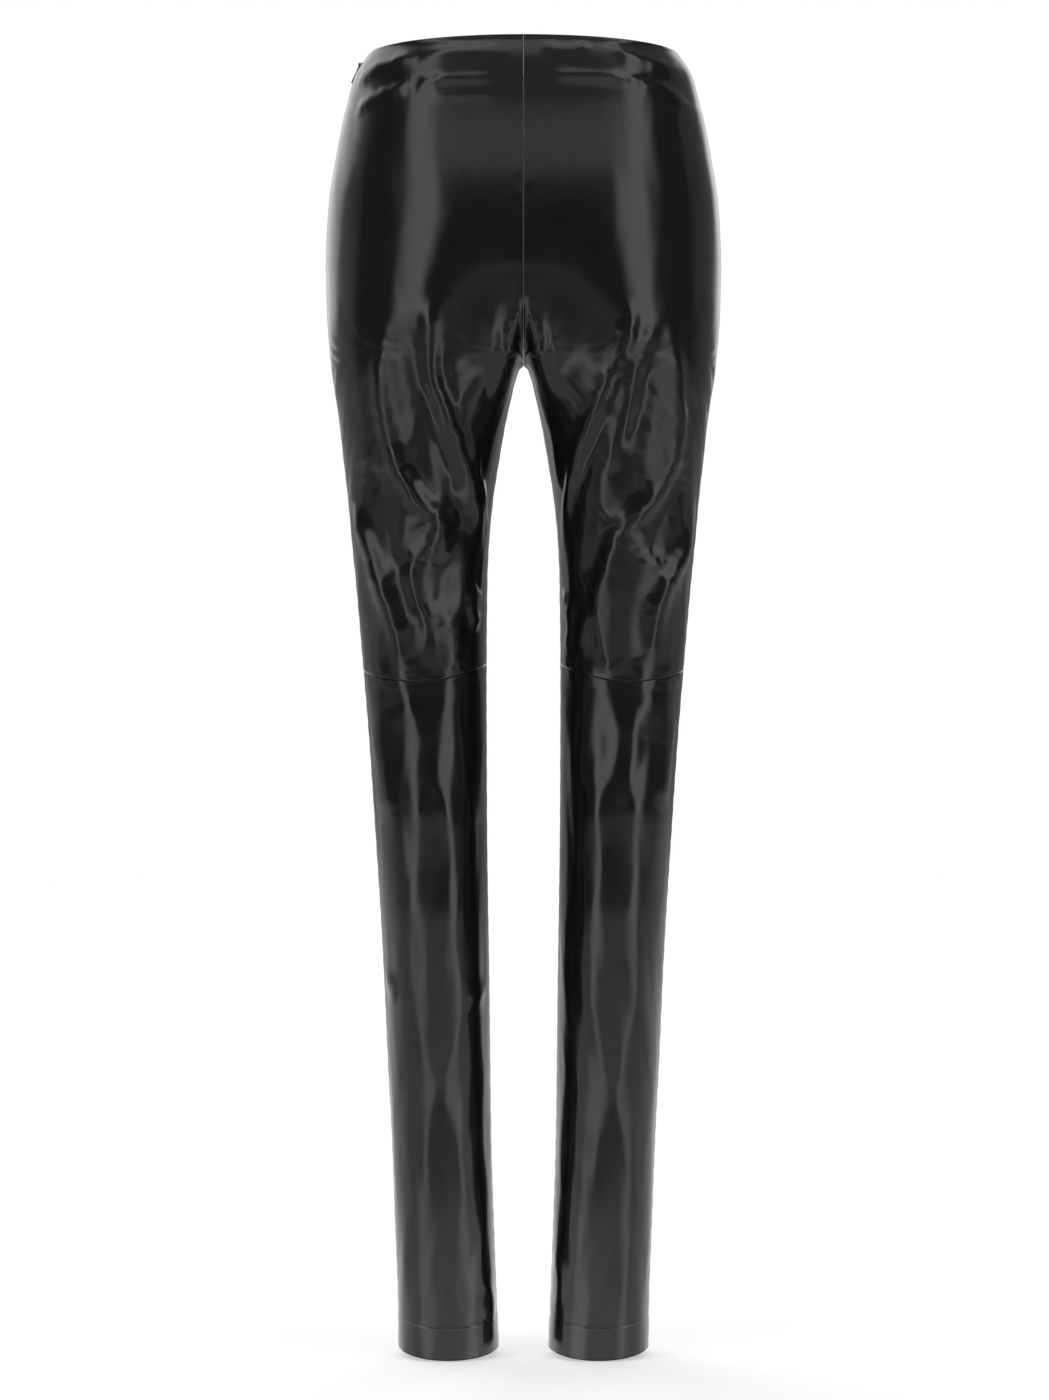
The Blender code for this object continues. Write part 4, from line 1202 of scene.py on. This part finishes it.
class LEGGINGS_OT_zip(Operator):
    """Set in the zip: its woven tape and its coil, behind the left side seam"""

    bl_idname = "leggings.zip"
    bl_label = "Zip tape and coil"

    def execute(self, context):
        down = np.arange(TAPE_TOP, ZIP_END, TAPE_STEP)[:, None]
        away = np.array([TAPE_STATIONS])
        outer = under_seam(down, away, TAPE_BEHIND)
        inner = under_seam(down, away, TAPE_BEHIND + TAPE_THICK)
        round_mm, down_mm = lengths_along(outer, 1), lengths_along(outer, 0)
        everywhere = np.ones_like(round_mm, bool)
        tape = shell("zip_tape_woven", -1, outer, inner, round_mm, down_mm, everywhere, (tape_cloth(),))
        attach(tape, "garment")
        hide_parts("zip_tape")

        mesh = bmesh.new()
        steps = np.arange(SLIDER_DOWN + COIL_FROM_SLIDER, COIL_END, COIL_PITCH / COIL_STEPS)
        for hand in (-1, 1):
            turn = 2 * math.pi * (steps / COIL_PITCH + 0.25 * hand)
            away = hand * (COIL_RADIUS * COIL_WIDE * (1 + np.cos(turn)) - COIL_MESHED)
            depth = TAPE_BEHIND + TAPE_THICK + COIL_BEHIND + COIL_RADIUS * COIL_DEEP * np.sin(turn)
            add_tube(mesh, under_seam(steps, away, depth).tolist(), COIL_WIRE, sides=5)
        coil = mesh_object("zip_coil", mesh, coil_plastic(), 60)
        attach(coil, "garment")
        return {"FINISHED"}


class LEGGINGS_OT_slider_and_pull(Operator):
    """Fit the zip's slider and its slim pull tab"""

    bl_idname = "leggings.slider_and_pull"
    bl_label = "Slider and pull"

    def execute(self, context):
        axes = slider_frame()
        axis_out = NECK_OUTSIDE + BAIL_INNER
        mesh = bmesh.new()
        middle = -SLIDER_INSIDE - SLIDER_THICK / 2
        outline = rounded_box_outline(SLIDER_WIDTH, SLIDER_LENGTH, SLIDER_CORNER)
        add_rounded_plate(mesh, outline, SLIDER_THICK, SLIDER_BEVEL, (middle, 0, 0))
        neck_top = NECK_OUTSIDE + NECK_IN_BAIL
        neck = rounded_box_outline(NECK_WIDTH, NECK_LENGTH, NECK_CORNER)
        add_rounded_plate(mesh, neck, neck_top - middle, NECK_BEVEL, ((neck_top + middle) / 2, 0, 0))
        radius, wire_radius = (BAIL_OUTER + BAIL_INNER) / 2, (BAIL_OUTER - BAIL_INNER) / 2
        arch = [(out, 0, along) for along, out in arc((0, axis_out), radius, BAIL_FROM, BAIL_TO, 18)]
        add_tube(mesh, arch, wire_radius, sides=10)
        slider = mesh_object("zip_slider_plated", mesh, dark_metal())
        slider.matrix_world = axes
        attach(slider, "garment")
        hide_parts("zip_slider")

        mesh = bmesh.new()
        # the right half of the tab's outline, from beside its eye to the round tip
        half_eye = PULL_EYE_WIDTH / 2 + PULL_THICK
        right = [(half_eye - 0.35, -PULL_THICK / 2), (half_eye, 0.1), (half_eye, 2.2), (half_eye - 0.5, 3.2)]
        right += [(1.15, 4.8), (1.2, 7.0), (1.55, 10.0)]
        tip = arc((0, PULL_LENGTH - PULL_TIP), PULL_TIP, 0, 180, 14)
        outline = right + tip + [(-y, along) for y, along in reversed(right)]
        eye_middle = PULL_THICK / 2 + PULL_EYE_LENGTH / 2
        eye = rounded_box_outline(PULL_EYE_WIDTH, PULL_EYE_LENGTH, EYE_CORNER, 3)
        eye = [(y, along + eye_middle) for y, along in eye]
        add_rounded_plate(mesh, outline, PULL_THICK, PULL_BEVEL, holes=[eye])
        pull = mesh_object("zip_pull_plated", mesh, dark_metal())
        pull.matrix_world = axes @ Matrix.Translation((axis_out * MM, 0, 0))
        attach(pull, "pull")
        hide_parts("zip_pull")
        return {"FINISHED"}


class LEGGINGS_OT_studio(Operator):
    """Set up the camera, the pale floor and the soft studio surroundings"""

    bl_idname = "leggings.studio"
    bl_label = "Studio"

    def execute(self, context):
        scene = context.scene
        scene.view_settings.view_transform = "Standard"
        data = bpy.data.cameras.new("camera")
        data.sensor_fit = "VERTICAL"
        data.sensor_height = SENSOR_HEIGHT
        data.lens = SENSOR_HEIGHT * CAMERA_AWAY / SEEN_HEIGHT
        camera = bpy.data.objects.new("camera", data)
        camera.location = (CAMERA_ASIDE, -CAMERA_AWAY, -CAMERA_DOWN)
        camera.rotation_euler = (math.pi / 2, 0, 0)
        scene.collection.objects.link(camera)
        scene.camera = camera

        mesh = bmesh.new()
        bmesh.ops.create_circle(mesh, cap_ends=True, radius=FLOOR_RADIUS, segments=96)
        floor = mesh_object("floor", mesh, pale_floor(scene.leggings_studio.glow))
        floor.location.z = (-OUTSEAM - HEM_DIP - FLOOR_BELOW) * MM
        scene.world = studio_surroundings(scene.leggings_studio)
        return {"FINISHED"}


def pale_floor(glow):
    """Pale and plain. What shines mirrors the studio through it, lightened a little close by, because the
    leggings hang free of the ground in the photograph."""
    made, tree, shader = new_material("pale_floor")
    pale = {"Base Color": (0.86, 0.86, 0.86, 1), "Roughness": 0.9}
    fill_in(tree, shader, pale | {"Emission Color": (1, 1, 1, 1), "Emission Strength": 0.5})
    place = wire(tree, "ShaderNodeTexCoord").outputs["Object"]
    away = wire(tree, "ShaderNodeVectorMath", {0: place}, operation="LENGTH").outputs["Value"]
    fading = maths_node(tree, "POWER", math.e, maths_node(tree, "MULTIPLY", away, GLOW_FADE))
    slanting = wire(tree, "ShaderNodeLayerWeight", {"Blend": 0.5}).outputs["Facing"]
    fading = maths_node(tree, "MULTIPLY", fading, maths_node(tree, "POWER", slanting, GLOW_SLANT))
    strength = maths_node(tree, "MULTIPLY", fading, glow)
    lit = wire(tree, "ShaderNodeEmission", {"Strength": strength}).outputs[0]
    clear = wire(tree, "ShaderNodeBsdfTransparent").outputs[0]
    mirrored = wire(tree, "ShaderNodeAddShader", {0: clear, 1: lit}).outputs[0]
    is_mirrored = wire(tree, "ShaderNodeLightPath").outputs["Is Glossy Ray"]
    mixed = wire(tree, "ShaderNodeMixShader", {0: is_mirrored, 1: shader.outputs[0], 2: mirrored}).outputs[0]
    tree.links.new(mixed, tree.nodes["Material Output"].inputs["Surface"])
    return made


def studio_surroundings(studio):
    """White to the camera. The leggings mirror a pale room with two strip lights, dark round the camera."""
    world = bpy.data.worlds.new("studio")
    world.use_nodes = True
    tree = world.node_tree
    tree.nodes.clear()

    def maths(operation, *values):
        return maths_node(tree, operation, *values)

    def soft_step(value, low, high):
        ends = {0: value, 1: low, 2: high, 3: 0.0, 4: 1.0}
        return wire(tree, "ShaderNodeMapRange", ends, interpolation_type="SMOOTHSTEP").outputs[0]

    def further_down(at_horizon, when_low, when_deep):
        return maths("MULTIPLY_ADD", deep, when_deep, maths("MULTIPLY_ADD", low, when_low, at_horizon))

    def strip(sideways, middle, lean, when_low):
        middle = maths("ADD", maths("MULTIPLY_ADD", high, lean, middle), maths("MULTIPLY", low, when_low))
        past = maths("SUBTRACT", maths("ABSOLUTE", maths("SUBTRACT", sideways, middle)), half)
        return maths("SUBTRACT", 1.0, soft_step(maths("DIVIDE", past, soft), -0.5, 0.5))

    towards = wire(tree, "ShaderNodeTexCoord").outputs["Generated"]
    x, y, z = wire(tree, "ShaderNodeSeparateXYZ", {0: towards}).outputs
    right = maths("MULTIPLY", maths("ARCTAN2", x, maths("MULTIPLY", y, -1.0)), 180 / math.pi)
    left = maths("MULTIPLY", right, -1.0)
    off_camera = maths("ABSOLUTE", right)
    up = maths("MULTIPLY", maths("ARCSINE", z), 180 / math.pi)
    down = maths("MULTIPLY", up, -1.0)
    high = maths("MAXIMUM", maths("SUBTRACT", up, STRIPS_LEAN_FROM), 0.0)
    low, deep = soft_step(down, *LOW), soft_step(down, *DEEP)

    # two upright strip lights that lean apart towards the top and are softer near the ground
    half, soft = further_down(*STRIP_HALF), further_down(*STRIP_SOFT)
    strips = maths("ADD", strip(left, *LEFT_STRIP), strip(right, *RIGHT_STRIP))
    strength = maths("MULTIPLY", further_down(*STRIP_STRENGTH), soft_step(up, *STRIP_FOOT))
    strips = maths("MULTIPLY", maths("MULTIPLY", strips, strength), studio.strips)

    # a wide light above the camera, between the strips, with a dark gap above it and the ceiling beyond
    beside = maths("ABSOLUTE", maths("SUBTRACT", right, OVERHEAD_MIDDLE))
    beside = maths("SUBTRACT", beside, maths("MULTIPLY", high, OVERHEAD_LEAN))
    overhead = maths("MULTIPLY", soft_step(up, *OVERHEAD_FRONT), studio.overhead)
    far = maths("MULTIPLY_ADD", soft_step(up, *OVERHEAD_FAR), OVERHEAD_FAR_LOSS, 1.0)
    between = maths("SUBTRACT", 1.0, soft_step(beside, *OVERHEAD_SIDE))
    overhead = maths("MULTIPLY", maths("MULTIPLY", overhead, far), between)
    ceiling = maths("MULTIPLY", soft_step(up, *CEILING_FRONT), studio.ceiling)

    # the pale backdrop, from beside the leggings on, and the pale ground in front of them
    leaning = maths("MINIMUM", maths("MAXIMUM", up, 0.0), BACKDROP_LEAN_TO)
    from_left = maths("MULTIPLY_ADD", leaning, BACKDROP_LEAN, BACKDROP_LEFT)
    backdrop = soft_step(maths("SUBTRACT", left, from_left), *BACKDROP_SOFT)
    backdrop = maths("MAXIMUM", backdrop, soft_step(right, *BACKDROP_RIGHT))
    backdrop = maths("MULTIPLY", backdrop, soft_step(up, *BACKDROP_FOOT))
    backdrop = maths("MULTIPLY", backdrop, studio.backdrop)
    behind = maths("MULTIPLY_ADD", soft_step(off_camera, *BEHIND), BEHIND_LOSS, 1.0)
    backdrop = maths("MULTIPLY", backdrop, behind)
    left_wing = maths("MULTIPLY", soft_step(left, *LEFT_WING), LEFT_WING_SHARE * studio.backdrop)
    right_wing = maths("MULTIPLY", soft_step(right, *RIGHT_WING), RIGHT_WING_SHARE * studio.backdrop)
    below = maths("MULTIPLY_ADD", soft_step(off_camera, *GROUND_SIDE), GROUND_SIDE_NEARER, down)
    ground = maths("MULTIPLY", soft_step(below, *GROUND_FRONT), studio.ground)
    horizon = maths("MULTIPLY", soft_step(down, *HORIZON_TOP), soft_step(up, *HORIZON_FOOT))
    light = maths("MULTIPLY_ADD", horizon, studio.horizon, studio.shade)
    for part in (backdrop, left_wing, right_wing, overhead, ceiling, strips, ground):
        light = maths("MAXIMUM", light, part)

    to_camera = wire(tree, "ShaderNodeLightPath").outputs["Is Camera Ray"]
    shown = wire(tree, "ShaderNodeMix", {0: to_camera, 2: light, 3: 1.0}, data_type="FLOAT").outputs[0]
    background = wire(tree, "ShaderNodeBackground", {"Color": (1, 1, 1, 1), "Strength": shown})
    output = tree.nodes.new("ShaderNodeOutputWorld")
    tree.links.new(background.outputs[0], output.inputs["Surface"])
    return world


OPERATORS = (
    LEGGINGS_OT_back_panels,
    LEGGINGS_OT_front_panels,
    LEGGINGS_OT_zip,
    LEGGINGS_OT_slider_and_pull,
    LEGGINGS_OT_studio,
)
PROPERTIES = {"leggings_cloth": ClothLook, "leggings_zip": ZipLook, "leggings_studio": StudioLook}


class LEGGINGS_PT_sidebar(Panel):
    """All settings, and a button for each step"""

    bl_label = "Leggings"
    bl_idname = "LEGGINGS_PT_sidebar"
    bl_space_type = "VIEW_3D"
    bl_region_type = "UI"
    bl_category = "Leggings"

    def draw(self, context):
        for name in PROPERTIES:
            settings = getattr(context.scene, name)
            for key in settings.__annotations__:
                self.layout.prop(settings, key)
        for operator in OPERATORS:
            self.layout.operator(operator.bl_idname)


def register():
    for made in (*PROPERTIES.values(), *OPERATORS, LEGGINGS_PT_sidebar):
        bpy.utils.register_class(made)
    for name, settings in PROPERTIES.items():
        setattr(bpy.types.Scene, name, PointerProperty(type=settings))


def unregister():
    for name in PROPERTIES:
        delattr(bpy.types.Scene, name)
    for made in reversed((*PROPERTIES.values(), *OPERATORS, LEGGINGS_PT_sidebar)):
        bpy.utils.unregister_class(made)


def main():
    register()
    bpy.ops.leggings.back_panels()
    bpy.ops.leggings.front_panels()
    bpy.ops.leggings.zip()
    bpy.ops.leggings.slider_and_pull()
    bpy.ops.leggings.studio()


if __name__ == "__main__":
    main()
